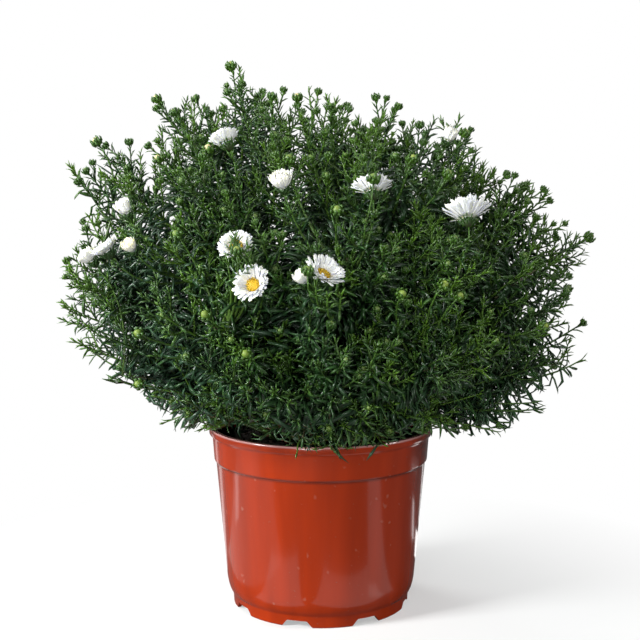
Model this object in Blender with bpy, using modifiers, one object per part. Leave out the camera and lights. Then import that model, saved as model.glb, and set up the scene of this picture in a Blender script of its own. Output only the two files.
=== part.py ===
"""Potted aster: a bushy white aster in a 17 cm nursery pot, at its real size.

Metres, +Z up. The origin is the middle of the pot's foot, on the surface it stands on, and
the front is towards -Y. The pot, its soil, each leafy stem and each bloom is one object.
"""
import math
import random

import bmesh
import bpy
import numpy as np
from mathutils import Matrix, Vector, noise

# Pot: a moulded shell with a flat lip, a collar, a tapered wall and a notched foot ring.
POT_HEIGHT = 0.1371
POT_STEPS = 28
WALL = 0.0018
LIP_RADIUS = 0.0850
LIP_HEIGHT = 0.0055
COLLAR_TOP_RADIUS = 0.0826
COLLAR_RADIUS = 0.0812
COLLAR_HEIGHT = 0.0258
STEP_DEPTH = 0.0014
WALL_LOW_RADIUS = 0.0717
WALL_LOW_Z = 0.0185
CORNER_RADIUS = 0.0691
CORNER_Z = 0.0105
FOOT_RADIUS = 0.0675
FOOT_HEIGHT = 0.0089
FOOT_WIDTH = 0.0036
BASE_UNDERSIDE = 0.0065
LIP_CHAMFER = 0.0008
FOOT_TAPER = 0.0005
FLOOR_INSET = 0.0012
FLOOR_RADIUS = CORNER_RADIUS - WALL - FLOOR_INSET
NOTCHES = 8
NOTCH_TURN = math.radians(30)
NOTCH_TOP = 0.015
NOTCH_FOOT = 0.023
NOTCH_HEIGHT = 0.0050
NOTCH_DEPTH = 4 * FOOT_WIDTH

# Drain holes in the floor, one behind each notch.
DRAIN_RADIUS = 0.0045
DRAIN_CIRCLE = 0.052
DRAIN_SIDES = 6

# Clear gap between pieces that touch.
GAP = 0.0003

# Soil: fills the pot to a little under the lip.
SOIL_TOP = 0.1265
SOIL_STEPS = 20
SOIL_RINGS = (0.030, 0.058)
SOIL_RELIEF = 0.0016
SOIL_LUMPS_PER_METRE = 60
SOIL_EDGE_DROP = 0.001

# Bush: stems fan out from a point below the soil, and their tips lie on its outline. Each
# outline is a list of (elevation in degrees, reach) as seen from the bush's middle. Distances
# along it are found by halving between two bounds.
FAN_POINT = Vector((0.0, 0.0, 0.100))
BUSH_MIDDLE = Vector((0.0, 0.0, 0.155))
RIGHT_OUTLINE = (
    (-14, 0.112), (-8, 0.138), (-2, 0.160), (6, 0.196), (9, 0.204), (19, 0.208), (24, 0.214),
    (32, 0.236), (43, 0.235), (55, 0.218), (64, 0.241), (70, 0.230), (76, 0.237), (84, 0.226),
    (90, 0.236),
)
LEFT_OUTLINE = (
    (-14, 0.112), (-6, 0.124), (2, 0.128), (9, 0.170), (12, 0.190), (21, 0.211), (26, 0.221),
    (36, 0.226), (40, 0.240), (44, 0.262), (50, 0.256), (53, 0.243), (62, 0.258), (70, 0.251),
    (76, 0.261), (80, 0.240), (85, 0.228), (90, 0.236),
)
DEPTH_OUTLINE = (
    (-14, 0.108), (-5, 0.124), (3, 0.150), (12, 0.178), (22, 0.196), (38, 0.207), (55, 0.217),
    (75, 0.231), (90, 0.236),
)

HALVINGS = 24
OUTLINE_BOUNDS = (0.05, 0.45)
DEPTH_BOUNDS = (0.0, 0.3)

# Tips that stand out in the outline, as (across, height), and a ring of tips over the lip.
OUTLINE_TIPS = (
    (-0.123, 0.142), (-0.178, 0.194), (-0.199, 0.252), (-0.189, 0.336), (-0.122, 0.383),
    (-0.061, 0.409), (-0.009, 0.397), (0.049, 0.386), (0.104, 0.372), (0.172, 0.315),
    (0.202, 0.281), (0.203, 0.190), (0.160, 0.149),
)
LIP_TIPS = 12
LIP_TIP_RADIUS = 0.119
LIP_TIP_HEIGHT = 0.157

# Leafy stems, on a spiral in the soil and on a matching spiral over the bush.
STEMS = 22
STEM_SIDES = 6
STEM_RADIUS = 0.0019
STEM_TOP_RADIUS = 0.0015
STEM_CIRCLE = 0.042
LOWEST_STEM = math.radians(70)
ROOT_DEPTH = 0.014
HOLE_DEPTH = 0.0146
HOLE_RADIUS = 0.00235
HOLE_TOP = 0.6
SPIRAL_START = 0.6
BEND_RISE = 0.045
BEND_SPREAD = 0.020
CORE_BELOW_TIP = 0.026
CORE_START = 0.085
CORE_ROOM = 0.002
CORE_RADIUS = 0.030
CORE_FILL = 0.80
CORE_VARIES = (0.85, 1.0)
CORE_SHRINK = 0.92
CORE_SWELL_FROM = 0.06
CORE_SWELL_SPAN = 0.72
CORE_SWELL_EASE = 1.4
LAST_CORE_START = 0.8
CORE_START_STEP = 0.02
CORE_LEAF = 0.015
CORE_LEAF_VARIES = (0.8, 1.15)
CORE_LEAF_RISE = 0.6
CORE_LEAF_SPACING = 0.008
CORE_RINGS = 5
BARE_STAGES = 3
CORE_COVER = 0.016
GOLDEN_ANGLE = math.pi * (3 - math.sqrt(5))

# Side shoots: three-sided twigs whose faces are drawn out into narrow leaves.
SIDE_SHOOTS = 4
SHOOT_SIDES = 3
SHOOT_LENGTH = 0.036
SHOOT_RINGS = 4
TWIG_RADIUS = 0.0012
LEAF_LENGTH = (0.0165, 0.0085)
LEAF_VARIES = (0.85, 1.1)
LEAF_RISE = 0.55
FIRST_LEAF = 0.3
BUD_LENGTH = 0.0062
BUD = ((0.0029, 0.0030),)
MOST_SIDE_LEAN = 0.27
SHOOT_ROOM = 0.0085
SHOOT_BOW = 0.004
LEADER_ROOT = 0.058
SIDE_ROOT = 0.5
TIP_SPACING = 0.045
TIP_STEPS = 12
TIP_STEP = 0.008
LOWEST_TIP = 0.141
LEAST_SIDE_LEAN = 0.05
LEAN_STEP = 0.01
FIRST_ROOT = CORE_START + 0.01
CELL_MARGIN = 0.0007
COURSE_CHECKS = (0.3, 0.5, 0.7, 0.85, 1.0)
CROWD_CHECKS = 8
SHORTER_LEAVES = (1.0, 0.72, 0.45)

# Distances (above the lip, outside the lip) that growth keeps from the pot.
CORE_CLEAR = (0.009, 0.008)
TWIG_CLEAR = (0.004, 0.010)
LEAF_CLEAR = (0.003, 0.012)

# Blooms: (name, place, facing azimuth from the front in degrees, facing elevation, radius).
# An elevation over 90 leans back. The depth of each place comes from the bush's outline.
OPEN_BLOOMS = (
    ("left_high", -0.062, 0.346, -88, 56, 0.0125),
    ("centre_right_high", 0.033, 0.314, 10, 97, 0.0145),
    ("right_high", 0.094, 0.297, 15, 95, 0.0178),
    ("front_left", -0.041, 0.257, -18, 20, 0.0135),
    ("front_centre", 0.001, 0.263, 42, 42, 0.0145),
    ("left_middle", -0.052, 0.279, -15, 45, 0.0125),
    ("left_side", -0.141, 0.275, -80, 55, 0.0108),
)
HALF_OPEN_BLOOMS = (
    ("centre_left_high", -0.024, 0.317, -30, 62, 0.0130),
    ("left_upper", -0.127, 0.300, -70, 62, 0.0120),
    ("left_outer", -0.153, 0.268, -75, 50, 0.0115),
    ("right_upper", 0.087, 0.349, 60, 65, 0.0115),
    ("left_lower", -0.122, 0.277, -40, 45, 0.0100),
    ("front_small", -0.010, 0.260, -50, 45, 0.0100),
)
BACK_BLOOMS = (
    ("back_left", -0.095, 0.300, 205, 50, 0.0150),
    ("back_middle", 0.030, 0.262, 172, 35, 0.0155),
    ("back_right", 0.120, 0.275, 140, 45, 0.0145),
)
OPEN_LIFT = 38
HALF_OPEN_LIFT = 68
BLOOM_INSET = 0.002
PETALS = 13
HALF_OPEN_PETALS = 8
PETAL_WIDEST = 0.62
PETAL_VARIES = (0.9, 1.0)
PETAL_SWAY = 0.08
PETAL_WIDTH = 0.0032
PETAL_THICKNESS = 0.0007
HUB_RADIUS = 0.0046
HUB_THICKNESS = 0.0009
DISC_SIDES = 8
DISC_RADIUS = 0.0043
DISC_HEIGHT = 0.0026
DISC_PROFILE = ((0.0, 0.94), (0.45, 1.0), (1.0, 0.5))
FLORET_RISE = 1.2
HALF_OPEN_HUB = 0.0030
LAYER_LIFT = math.radians(12)
CUP_DEPTH = 0.0052
CUP_START = 0.0006
CUP_PROFILE = ((0.45, 0.85), (1.0, 0.92))
KEEP_OUT_SPARE = 0.001
LEAST_KEEP_OUT = 0.62
STALK_SIDES = 4
STALK_RINGS = 2
STALK_ROOT = 0.060
STALK_BEND = 0.45
STALK_LEAFY = 0.45


def clear_scene():
    for obj in list(bpy.data.objects):
        bpy.data.objects.remove(obj, do_unlink=True)


def new_collection(name, hidden=False):
    collection = bpy.data.collections.new(name)
    collection.hide_render = hidden
    bpy.context.scene.collection.children.link(collection)
    return collection


def new_material(name, colour, roughness):
    material = bpy.data.materials.new(name)
    material.use_nodes = True
    shader = material.node_tree.nodes["Principled BSDF"]
    shader.inputs["Base Color"].default_value = (*colour, 1.0)
    shader.inputs["Roughness"].default_value = roughness
    shader.inputs["Metallic"].default_value = 0.0
    material.diffuse_color = (*colour, 1.0)
    return material


def object_from(bm, name, material, collection):
    """Turns a bmesh into a named object in a collection."""
    bm.normal_update()
    bmesh.ops.recalc_face_normals(bm, faces=bm.faces[:])
    mesh = bpy.data.meshes.new(name)
    bm.to_mesh(mesh)
    bm.free()
    if material:
        mesh.materials.append(material)
    obj = bpy.data.objects.new(name, mesh)
    collection.objects.link(obj)
    return obj


def as_cutter(obj):
    obj.hide_render = True
    obj.display_type = "WIRE"
    return obj


def turned(name, profile, steps, material, collection):
    """A turned solid from a profile of (radius, height) that runs up the inside and down the outside."""
    mesh = bpy.data.meshes.new(name)
    points = [(radius, 0.0, height) for radius, height in profile]
    mesh.from_pydata(points, [(i, i + 1) for i in range(len(points) - 1)], [])
    mesh.materials.append(material)
    obj = bpy.data.objects.new(name, mesh)
    collection.objects.link(obj)
    screw = obj.modifiers.new("Turn", "SCREW")
    screw.steps = steps
    screw.render_steps = steps
    screw.use_merge_vertices = True
    screw.merge_threshold = 0.0001
    screw.use_smooth_shade = True
    return obj


def applied(obj):
    """Replaces an object's mesh with its evaluated one, and drops its modifiers."""
    bpy.context.view_layer.update()
    graph = bpy.context.evaluated_depsgraph_get()
    mesh = bpy.data.meshes.new_from_object(obj.evaluated_get(graph))
    obj.modifiers.clear()
    obj.data = mesh
    return obj


def one_body(obj):
    """Keeps a mesh's largest shell: hollows sealed inside it fill up, and loose scraps go."""
    bm = bmesh.new()
    bm.from_mesh(obj.data)
    waiting = set(bm.verts)
    shells = []
    while waiting:
        shell, edge_of_shell = set(), [waiting.pop()]
        while edge_of_shell:
            vert = edge_of_shell.pop()
            shell.add(vert)
            near = {edge.other_vert(vert) for edge in vert.link_edges} & waiting
            waiting -= near
            edge_of_shell.extend(near)
        shells.append(shell)
    largest = max(shells, key=len)
    loose = [vert for vert in bm.verts if vert not in largest]
    bmesh.ops.delete(bm, geom=loose, context="VERTS")
    bm.to_mesh(obj.data)
    bm.free()


def cut(obj, cutter):
    boolean = obj.modifiers.new("Cut", "BOOLEAN")
    boolean.operation = "DIFFERENCE"
    boolean.object = cutter


def pot_profile():
    """Radius and height, from the middle of the floor up the inside, over the lip and down."""
    collar_bottom = POT_HEIGHT - COLLAR_HEIGHT
    floor = BASE_UNDERSIDE + WALL
    wall_top = COLLAR_RADIUS - STEP_DEPTH
    foot_inner = FOOT_RADIUS - FOOT_WIDTH
    return (
        (0.0, floor),
        (FLOOR_RADIUS, floor),
        (WALL_LOW_RADIUS - WALL, WALL_LOW_Z),
        (wall_top - WALL, collar_bottom - WALL),
        (COLLAR_RADIUS - WALL, collar_bottom),
        (COLLAR_TOP_RADIUS - WALL, POT_HEIGHT),
        (LIP_RADIUS - LIP_CHAMFER, POT_HEIGHT),
        (LIP_RADIUS, POT_HEIGHT - LIP_CHAMFER),
        (LIP_RADIUS, POT_HEIGHT - LIP_HEIGHT),
        (COLLAR_TOP_RADIUS, POT_HEIGHT - LIP_HEIGHT - LIP_CHAMFER),
        (COLLAR_RADIUS, collar_bottom),
        (wall_top, collar_bottom - STEP_DEPTH / 2),
        (WALL_LOW_RADIUS, WALL_LOW_Z),
        (CORNER_RADIUS, CORNER_Z),
        (FOOT_RADIUS, FOOT_HEIGHT),
        (FOOT_RADIUS - FOOT_TAPER, 0.0),
        (foot_inner, 0.0),
        (foot_inner, BASE_UNDERSIDE),
        (0.0, BASE_UNDERSIDE),
    )


def build_pot(collection, cutters):
    material = new_material("pot_plastic", (0.40, 0.085, 0.045), 0.30)
    pot = turned("pot", pot_profile(), POT_STEPS, material, collection)
    for index in range(NOTCHES):
        angle = Matrix.Rotation(NOTCH_TURN + index * math.tau / NOTCHES, 4, "Z")
        bm = bmesh.new()
        bmesh.ops.create_cube(bm, size=1.0)
        for vert in bm.verts:
            width, height = NOTCH_TOP, NOTCH_HEIGHT
            if vert.co.z < 0:
                width, height = 2 * NOTCH_FOOT - NOTCH_TOP, -NOTCH_HEIGHT
            vert.co = Vector((vert.co.x * width, vert.co.y * NOTCH_DEPTH, height))
        place = angle @ Matrix.Translation((0, -FOOT_RADIUS, 0))
        bmesh.ops.transform(bm, matrix=place, verts=bm.verts[:])
        cut(pot, as_cutter(object_from(bm, f"notch_cutter_{index + 1}", None, cutters)))
        drain = bmesh.new()
        bmesh.ops.create_cone(
            drain, cap_ends=True, segments=DRAIN_SIDES, radius1=DRAIN_RADIUS, radius2=DRAIN_RADIUS,
            depth=4 * WALL, matrix=angle @ Matrix.Translation((0, -DRAIN_CIRCLE, BASE_UNDERSIDE))
        )
        cut(pot, as_cutter(object_from(drain, f"drain_cutter_{index + 1}", None, cutters)))


def between(points, angle):
    """Reach at an angle, read along a list of (angle, reach)."""
    if angle <= points[0][0]:
        return points[0][1]
    for (low, first), (high, second) in zip(points, points[1:]):
        if angle <= high:
            return first + (second - first) * (angle - low) / (high - low)
    return points[-1][1]


def reach(way):
    """How far the bush reaches from its middle in a direction."""
    elevation = math.degrees(math.asin(max(-1.0, min(1.0, way.normalized().z))))
    across = way.x * way.x / max(way.x * way.x + way.y * way.y, 1e-12)
    side = between(RIGHT_OUTLINE if way.x > 0 else LEFT_OUTLINE, elevation)
    return side * across + between(DEPTH_OUTLINE, elevation) * (1 - across)


def depth_inside(point):
    """How far a point lies inside the bush's outline."""
    way = point - BUSH_MIDDLE
    return reach(way) - way.length


def outline_distance(way):
    """Distance from the fan point to the bush's outline along a unit direction."""
    low, high = OUTLINE_BOUNDS
    for _ in range(HALVINGS):
        middle = (low + high) / 2
        if depth_inside(FAN_POINT + way * middle) > 0:
            low = middle
        else:
            high = middle
    return low


class LeafyStem:
    """One stem's course: up from its hole, then out along its own direction in the fan."""

    def __init__(self, index):
        share = (index + 0.5) / STEMS
        lean = math.acos(1 - (1 - math.cos(LOWEST_STEM)) * share)
        turn = index * GOLDEN_ANGLE + SPIRAL_START
        outward = Vector((math.cos(turn), math.sin(turn), 0))
        self.index = index
        self.way = outward * math.sin(lean) + Vector((0, 0, math.cos(lean)))
        self.side = Vector((-math.sin(turn), math.cos(turn), 0))
        self.length = outline_distance(self.way)
        self.base = outward * STEM_CIRCLE * math.sqrt(share) + Vector((0, 0, SOIL_TOP))
        self.bend = self.base + outward * BEND_SPREAD * share + Vector((0, 0, BEND_RISE))
        self.crown = FAN_POINT + self.way * (self.length - CORE_BELOW_TIP)
        self.random = random.Random(index + 1)
        self.tips = []

    def root(self):
        return self.base + (self.base - self.bend).normalized() * ROOT_DEPTH

    def at(self, share):
        """The stem's middle line, a bent curve from the soil to the crown."""
        first = self.base.lerp(self.bend, share)
        return first.lerp(self.bend.lerp(self.crown, share), share)

    def along(self, share):
        return (self.bend - self.base).lerp(self.crown - self.bend, share).normalized()

    def up_at(self, share):
        return self.side.cross(self.along(share))

    def nearest(self, point):
        """The point of the middle line at the same distance from the fan point."""
        return self.at(self.share_at((point - FAN_POINT).length))

    def core_share(self, walls):
        """Where on the curve the leafy part starts, once the stem is well inside its own cell."""
        share = self.share_at(CORE_START)
        while share < LAST_CORE_START and room_in_cell(walls, self.at(share)) < CORE_ROOM:
            share += CORE_START_STEP
        return share

    def share_at(self, distance):
        """Where on the curve the stem is this far from the fan point."""
        low, high = 0.0, 1.0
        for _ in range(HALVINGS):
            middle = (low + high) / 2
            if (self.at(middle) - FAN_POINT).length < distance:
                low = middle
            else:
                high = middle
        return low


def cell_walls(stems):
    """For each stem, the normals of the planes that part it from the others."""
    ways = np.array([stem.way for stem in stems])
    walls = []
    for index, way in enumerate(ways):
        normals = np.delete(way - ways, index, axis=0)
        walls.append(normals / np.linalg.norm(normals, axis=1)[:, None])
    return walls


def room_in_cell(walls, point):
    """Distance from a point to the nearest wall of its stem's own share of the bush."""
    return float((walls @ np.array(point - FAN_POINT)).min())


def room_towards(walls, point, way):
    """How far a point may go in a direction before it meets a wall."""
    heights = walls @ np.array(point - FAN_POINT)
    closing = -(walls @ np.array(way))
    facing = closing > 1e-6
    return float((heights[facing] / closing[facing]).min()) if facing.any() else 1.0


def clear_of_pot(point, spare):
    """True where a point is so far above the lip, or so far outside it."""
    above, beyond = spare
    return point.z > POT_HEIGHT + above or math.hypot(point.x, point.y) > LIP_RADIUS + beyond


def grown(bm, face, corners):
    """Extrudes a face, moves its corners to the given points, and returns it with its new sides."""
    made = bmesh.ops.extrude_discrete_faces(bm, faces=[face])
    end = made["faces"][0]
    for vert, corner in zip(end.verts, corners):
        vert.co = corner
    sides = [other for edge in end.edges for other in edge.link_faces if other is not end]
    return end, sides


def ring_points(middle, across, up, radii, turn=0.0):
    """Points round a middle, at the given radii, in the plane of two unit directions."""
    step = math.tau / len(radii)
    points = []
    for number, radius in enumerate(radii):
        angle = turn + step * number
        points.append(middle + (across * math.cos(angle) + up * math.sin(angle)) * radius)
    return points


def swept(rings):
    """A closed solid through rings of points, with its far end face and each stage's sides."""
    bm = bmesh.new()
    bmesh.ops.create_cone(
        bm, cap_ends=True, segments=len(rings[0]), radius1=1.0, radius2=1.0, depth=2.0
    )
    bm.normal_update()
    end = next(face for face in bm.faces if face.normal.z > 0.9)
    for vert, near, far in zip(end.verts[:], rings[0], rings[1]):
        below = next(edge.other_vert(vert) for edge in vert.link_edges if edge not in end.edges[:])
        below.co = near
        vert.co = far
    stages = [[face for edge in end.edges for face in edge.link_faces if face is not end]]
    for ring in rings[2:]:
        end, sides = grown(bm, end, ring)
        stages.append(sides)
    return bm, end, stages


def poke_to(bm, face, point):
    """Draws a face out to a point."""
    made = bmesh.ops.poke(bm, faces=[face])
    made["verts"][0].co = point


def bent(course, share):
    """A point on the curve from a root, towards a bend, to a tip."""
    root, bend, tip = course
    return root.lerp(bend, share).lerp(bend.lerp(tip, share), share)


def heading(course, share):
    root, bend, tip = course
    return (bend - root).lerp(tip - bend, share).normalized()


def twig(course, sides, leafy, head, point_at, leaf_may_reach, chance):
    """A closed twig along a course, with leaves on its later part and a head past its tip.

    leafy is (share of the course where leaves start, rings of leaves), and head is a list of
    (radius, distance past the tip). The end is drawn out to a point at point_at past the tip,
    or left flat where that is 0.
    """
    reference = (course[2] - course[0]).orthogonal().normalized()
    first_leaf, leaf_rings = leafy
    shares = [0.0] + [first_leaf + (1 - first_leaf) * i / leaf_rings for i in range(leaf_rings + 1)]
    turn = chance.uniform(0, math.tau)
    rings = []
    for number, share in enumerate(shares):
        way = heading(course, share)
        across = (reference - way * reference.dot(way)).normalized()
        twist = turn + max(number - 1, 0) * math.pi / sides * 0.5
        radii = [TWIG_RADIUS] * sides
        rings.append(ring_points(bent(course, share), across, way.cross(across), radii, twist))
    for radius, distance in head:
        middle = course[2] + way * distance
        rings.append(ring_points(middle, across, way.cross(across), [radius] * sides, twist))
    bm, end, stages = swept(rings)
    if point_at:
        poke_to(bm, end, course[2] + way * point_at)
    for number in range(1, leaf_rings + 1):
        share = (shares[number] + shares[number + 1]) / 2
        axis_point = bent(course, share)
        way = heading(course, share)
        for face in stages[number]:
            middle = face.calc_center_median()
            out = middle - axis_point
            out = (out - way * out.dot(way)).normalized()
            fading = (number - 1) / max(leaf_rings - 1, 1)
            length = LEAF_LENGTH[0] + (LEAF_LENGTH[1] - LEAF_LENGTH[0]) * fading
            length *= chance.uniform(*LEAF_VARIES)
            for shorter in SHORTER_LEAVES:
                point = middle + (out + way * LEAF_RISE).normalized() * length * shorter
                if leaf_may_reach(point):
                    poke_to(bm, face, point)
                    break
    return bm


def core_swell(share):
    """The core's width along its length: it is widest about seven tenths of the way up."""
    return math.sin(math.pi * (CORE_SWELL_FROM + CORE_SWELL_SPAN * share ** CORE_SWELL_EASE))


def stem_and_core(stem, walls, leaf_may_reach, crowded):
    """The stem from its root, swelling into the leafy core that its shoots stand out of."""
    start = stem.core_share(walls)
    rings = [ring_points(stem.root(), stem.side, stem.up_at(0.0), [STEM_RADIUS] * STEM_SIDES)]
    for share in (0.0, start * 0.5):
        radii = [STEM_RADIUS] * STEM_SIDES
        rings.append(ring_points(stem.at(share), stem.side, stem.up_at(share), radii))
    for number in range(CORE_RINGS + 1):
        share = start + (1 - start) * number / CORE_RINGS
        middle = stem.at(share)
        up = stem.up_at(share)
        swell = core_swell(number / CORE_RINGS)
        radii = []
        for i in range(STEM_SIDES):
            angle = math.tau * i / STEM_SIDES
            way = stem.side * math.cos(angle) + up * math.sin(angle)
            room = room_towards(walls, middle, way) * CORE_FILL - CELL_MARGIN
            radius = min(room, CORE_RADIUS) * swell * stem.random.uniform(*CORE_VARIES)
            while radius > STEM_TOP_RADIUS and not core_may_reach(middle + way * radius):
                radius *= CORE_SHRINK
            radii.append(max(radius, STEM_TOP_RADIUS))
        rings.append(ring_points(middle, stem.side, up, radii))
    bm, _, stages = swept(rings)
    for face in [face for sides in stages[BARE_STAGES:] for face in sides]:
        middle = face.calc_center_median()
        if not crowded(middle):
            leaf_out_of_core(bm, face, stem, leaf_may_reach)
    return bm


def leaf_out_of_core(bm, face, stem, leaf_may_reach):
    """Draws one face of a core out into a leaf that leans towards the outline."""
    middle = face.calc_center_median()
    face.normal_update()
    out = face.normal.copy()
    if out.dot(middle - stem.nearest(middle)) < 0:
        out.negate()
    lean = (out + (middle - FAN_POINT).normalized() * CORE_LEAF_RISE).normalized()
    length = CORE_LEAF * stem.random.uniform(*CORE_LEAF_VARIES)
    for shorter in SHORTER_LEAVES:
        point = middle + lean * length * shorter
        if leaf_may_reach(point):
            poke_to(bm, face, point)
            break


def core_may_reach(point):
    """True where a core may be: well inside the outline, and clear of the pot."""
    return depth_inside(point) > CORE_COVER and clear_of_pot(point, CORE_CLEAR)


def side_tip(stem, walls, turn):
    """A tip on the outline, as far to one side of the stem's own way as its leaves have room."""
    sideways = stem.side * math.cos(turn) + stem.way.cross(stem.side) * math.sin(turn)
    lean = MOST_SIDE_LEAN
    while lean > LEAST_SIDE_LEAN:
        way = stem.way * math.cos(lean) + sideways * math.sin(lean)
        tip = FAN_POINT + way * (outline_distance(way) - BUD_LENGTH)
        if room_in_cell(walls, tip) > SHOOT_ROOM and tip.z > LOWEST_TIP:
            return tip
        lean -= LEAN_STEP
    return None


def named_tips():
    """The tips that the bush is sure to have: those of its outline, and a ring over the lip."""
    tips = [Vector((across, 0.0, height)) for across, height in OUTLINE_TIPS]
    for number in range(LIP_TIPS):
        angle = math.tau * number / LIP_TIPS
        tips.append(Vector((
            LIP_TIP_RADIUS * math.sin(angle), -LIP_TIP_RADIUS * math.cos(angle), LIP_TIP_HEIGHT
        )))
    return tips


def give_named_tips(stems, cells):
    """Gives each named tip, moved a little round the bush if need be, to a stem with room for it."""
    for place in named_tips():
        aside = Vector((0, 0, 1)).cross(place).normalized()
        for step in range(TIP_STEPS):
            tip = place + aside * ((step + 1) // 2 * TIP_STEP * (1 if step % 2 else -1))
            tip -= (tip - FAN_POINT).normalized() * BUD_LENGTH
            room, owner = max((room_in_cell(walls, tip), i) for i, walls in enumerate(cells))
            if room > SHOOT_ROOM:
                stems[owner].tips.append(tip)
                break


def shoot_tips(stem, walls):
    """The stem's own tip, its tips of the outline, and side tips where those leave room."""
    tips = [FAN_POINT + stem.way * (stem.length - BUD_LENGTH)] + stem.tips
    first_turn = stem.random.uniform(0, math.tau)
    for number in range(SIDE_SHOOTS):
        tip = side_tip(stem, walls, first_turn + number * math.tau / SIDE_SHOOTS)
        if tip and all((tip - other).length > TIP_SPACING for other in tips):
            tips.append(tip)
    return tips


def shoot_course(stem, tip):
    """A course from the stem's middle line to a tip, that bows up a little at its end."""
    aside = (tip - stem.nearest(tip)).length
    distance = (tip - FAN_POINT).length - LEADER_ROOT - SIDE_ROOT * aside
    root = stem.at(stem.share_at(max(distance, FIRST_ROOT)))
    bend = root.lerp(tip, 0.5) - Vector((0, 0, SHOOT_BOW))
    return root, bend, tip


def shoot_is_clear(point, blooms):
    """True where a twig has room beside the pot and the blooms."""
    apart = all(bloom.clears(point, TWIG_RADIUS * 3) for bloom in blooms)
    return apart and clear_of_pot(point, TWIG_CLEAR)


def shoot_courses(stem, walls, blooms):
    """Courses of the stem's leafy shoots, and of the stalks of the blooms that it carries."""
    shoots = []
    for tip in shoot_tips(stem, walls):
        course = shoot_course(stem, tip)
        if all(shoot_is_clear(bent(course, share), blooms) for share in COURSE_CHECKS):
            shoots.append(course)
    stalks = []
    for bloom in blooms:
        if bloom.stem is stem:
            root = stem.at(stem.share_at((bloom.foot - FAN_POINT).length - STALK_ROOT))
            bend = bloom.foot - bloom.way * (bloom.foot - root).length * STALK_BEND
            stalks.append(((root, bend, bloom.foot), bloom.cup))
    return shoots, stalks


def leafy_stem(stem, walls, blooms, material, collection):
    """One stem with its core, its shoots and the stalks of its blooms, fused in one solid."""
    name = f"leafy_stem_{stem.index + 1:02d}"

    def leaf_may_reach(point):
        if room_in_cell(walls, point) < CELL_MARGIN or not clear_of_pot(point, LEAF_CLEAR):
            return False
        return all(bloom.clears(point) for bloom in blooms)

    shoots, stalks = shoot_courses(stem, walls, blooms)
    courses = shoots + [course for course, _ in stalks]

    def crowded(point):
        return any(
            (bent(course, step / CROWD_CHECKS) - point).length < CORE_LEAF_SPACING
            for course in courses for step in range(CROWD_CHECKS + 1)
        )

    core = stem_and_core(stem, walls, leaf_may_reach, crowded)
    obj = object_from(core, name, material, collection)
    pieces = new_collection(f"{name}_pieces")
    for number, course in enumerate(shoots):
        leafy_from = 1 - SHOOT_LENGTH / (course[2] - course[0]).length
        leafy = (max(leafy_from, FIRST_LEAF), SHOOT_RINGS)
        bm = twig(course, SHOOT_SIDES, leafy, BUD, BUD_LENGTH, leaf_may_reach, stem.random)
        object_from(bm, f"{name}_shoot_{number + 1}", material, pieces)
    for number, (course, cup) in enumerate(stalks):
        leafy = (STALK_LEAFY, STALK_RINGS)
        bm = twig(course, STALK_SIDES, leafy, cup, 0.0, leaf_may_reach, stem.random)
        object_from(bm, f"{name}_stalk_{number + 1}", material, pieces)
    join = obj.modifiers.new("Join", "BOOLEAN")
    join.operation = "UNION"
    join.operand_type = "COLLECTION"
    join.collection = pieces
    join.solver = "MANIFOLD"
    one_body(applied(obj))
    for piece in list(pieces.objects):
        bpy.data.objects.remove(piece, do_unlink=True)
    bpy.data.collections.remove(pieces)


class Bloom:
    """Where one flower head stands, which way it faces, and the stem that carries it."""

    def __init__(self, name, x, z, turn, rise, radius, lift, stems):
        turn = math.radians(turn)
        rise = math.radians(rise)
        self.name = name
        self.radius = radius
        self.lift = math.radians(lift)
        self.way = Vector((
            math.sin(turn) * math.cos(rise), -math.cos(turn) * math.cos(rise), math.sin(rise)
        ))
        self.middle = Vector((x, surface_depth(x, z, math.cos(turn) > 0), z))
        out = (self.middle - FAN_POINT).normalized()
        self.stem = max(stems, key=lambda stem: stem.way.dot(out))
        self.foot = self.middle - self.way * (HUB_THICKNESS / 2 + GAP + CUP_DEPTH)
        self.hub = HUB_RADIUS if lift == OPEN_LIFT else HALF_OPEN_HUB
        self.cup = [(TWIG_RADIUS, CUP_START)]
        self.cup += [(self.hub * wide, CUP_DEPTH * share) for share, wide in CUP_PROFILE]
        self.heart = self.middle + self.way * radius * math.sin(self.lift) / 2
        self.keep_out = max(
            radius * math.cos(self.lift) + KEEP_OUT_SPARE, radius * LEAST_KEEP_OUT
        )

    def clears(self, point, spare=0.0):
        return (point - self.heart).length > self.keep_out + spare


def surface_depth(x, z, front):
    """How far forward or back the bush's outline lies at a place seen from the front."""
    low, high = DEPTH_BOUNDS
    for _ in range(HALVINGS):
        middle = (low + high) / 2
        if depth_inside(Vector((x, -middle if front else middle, z))) > BLOOM_INSET:
            low = middle
        else:
            high = middle
    return -low if front else low


def bloom_frame(bloom):
    across = bloom.way.orthogonal().normalized()
    return across, bloom.way.cross(across)


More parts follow.
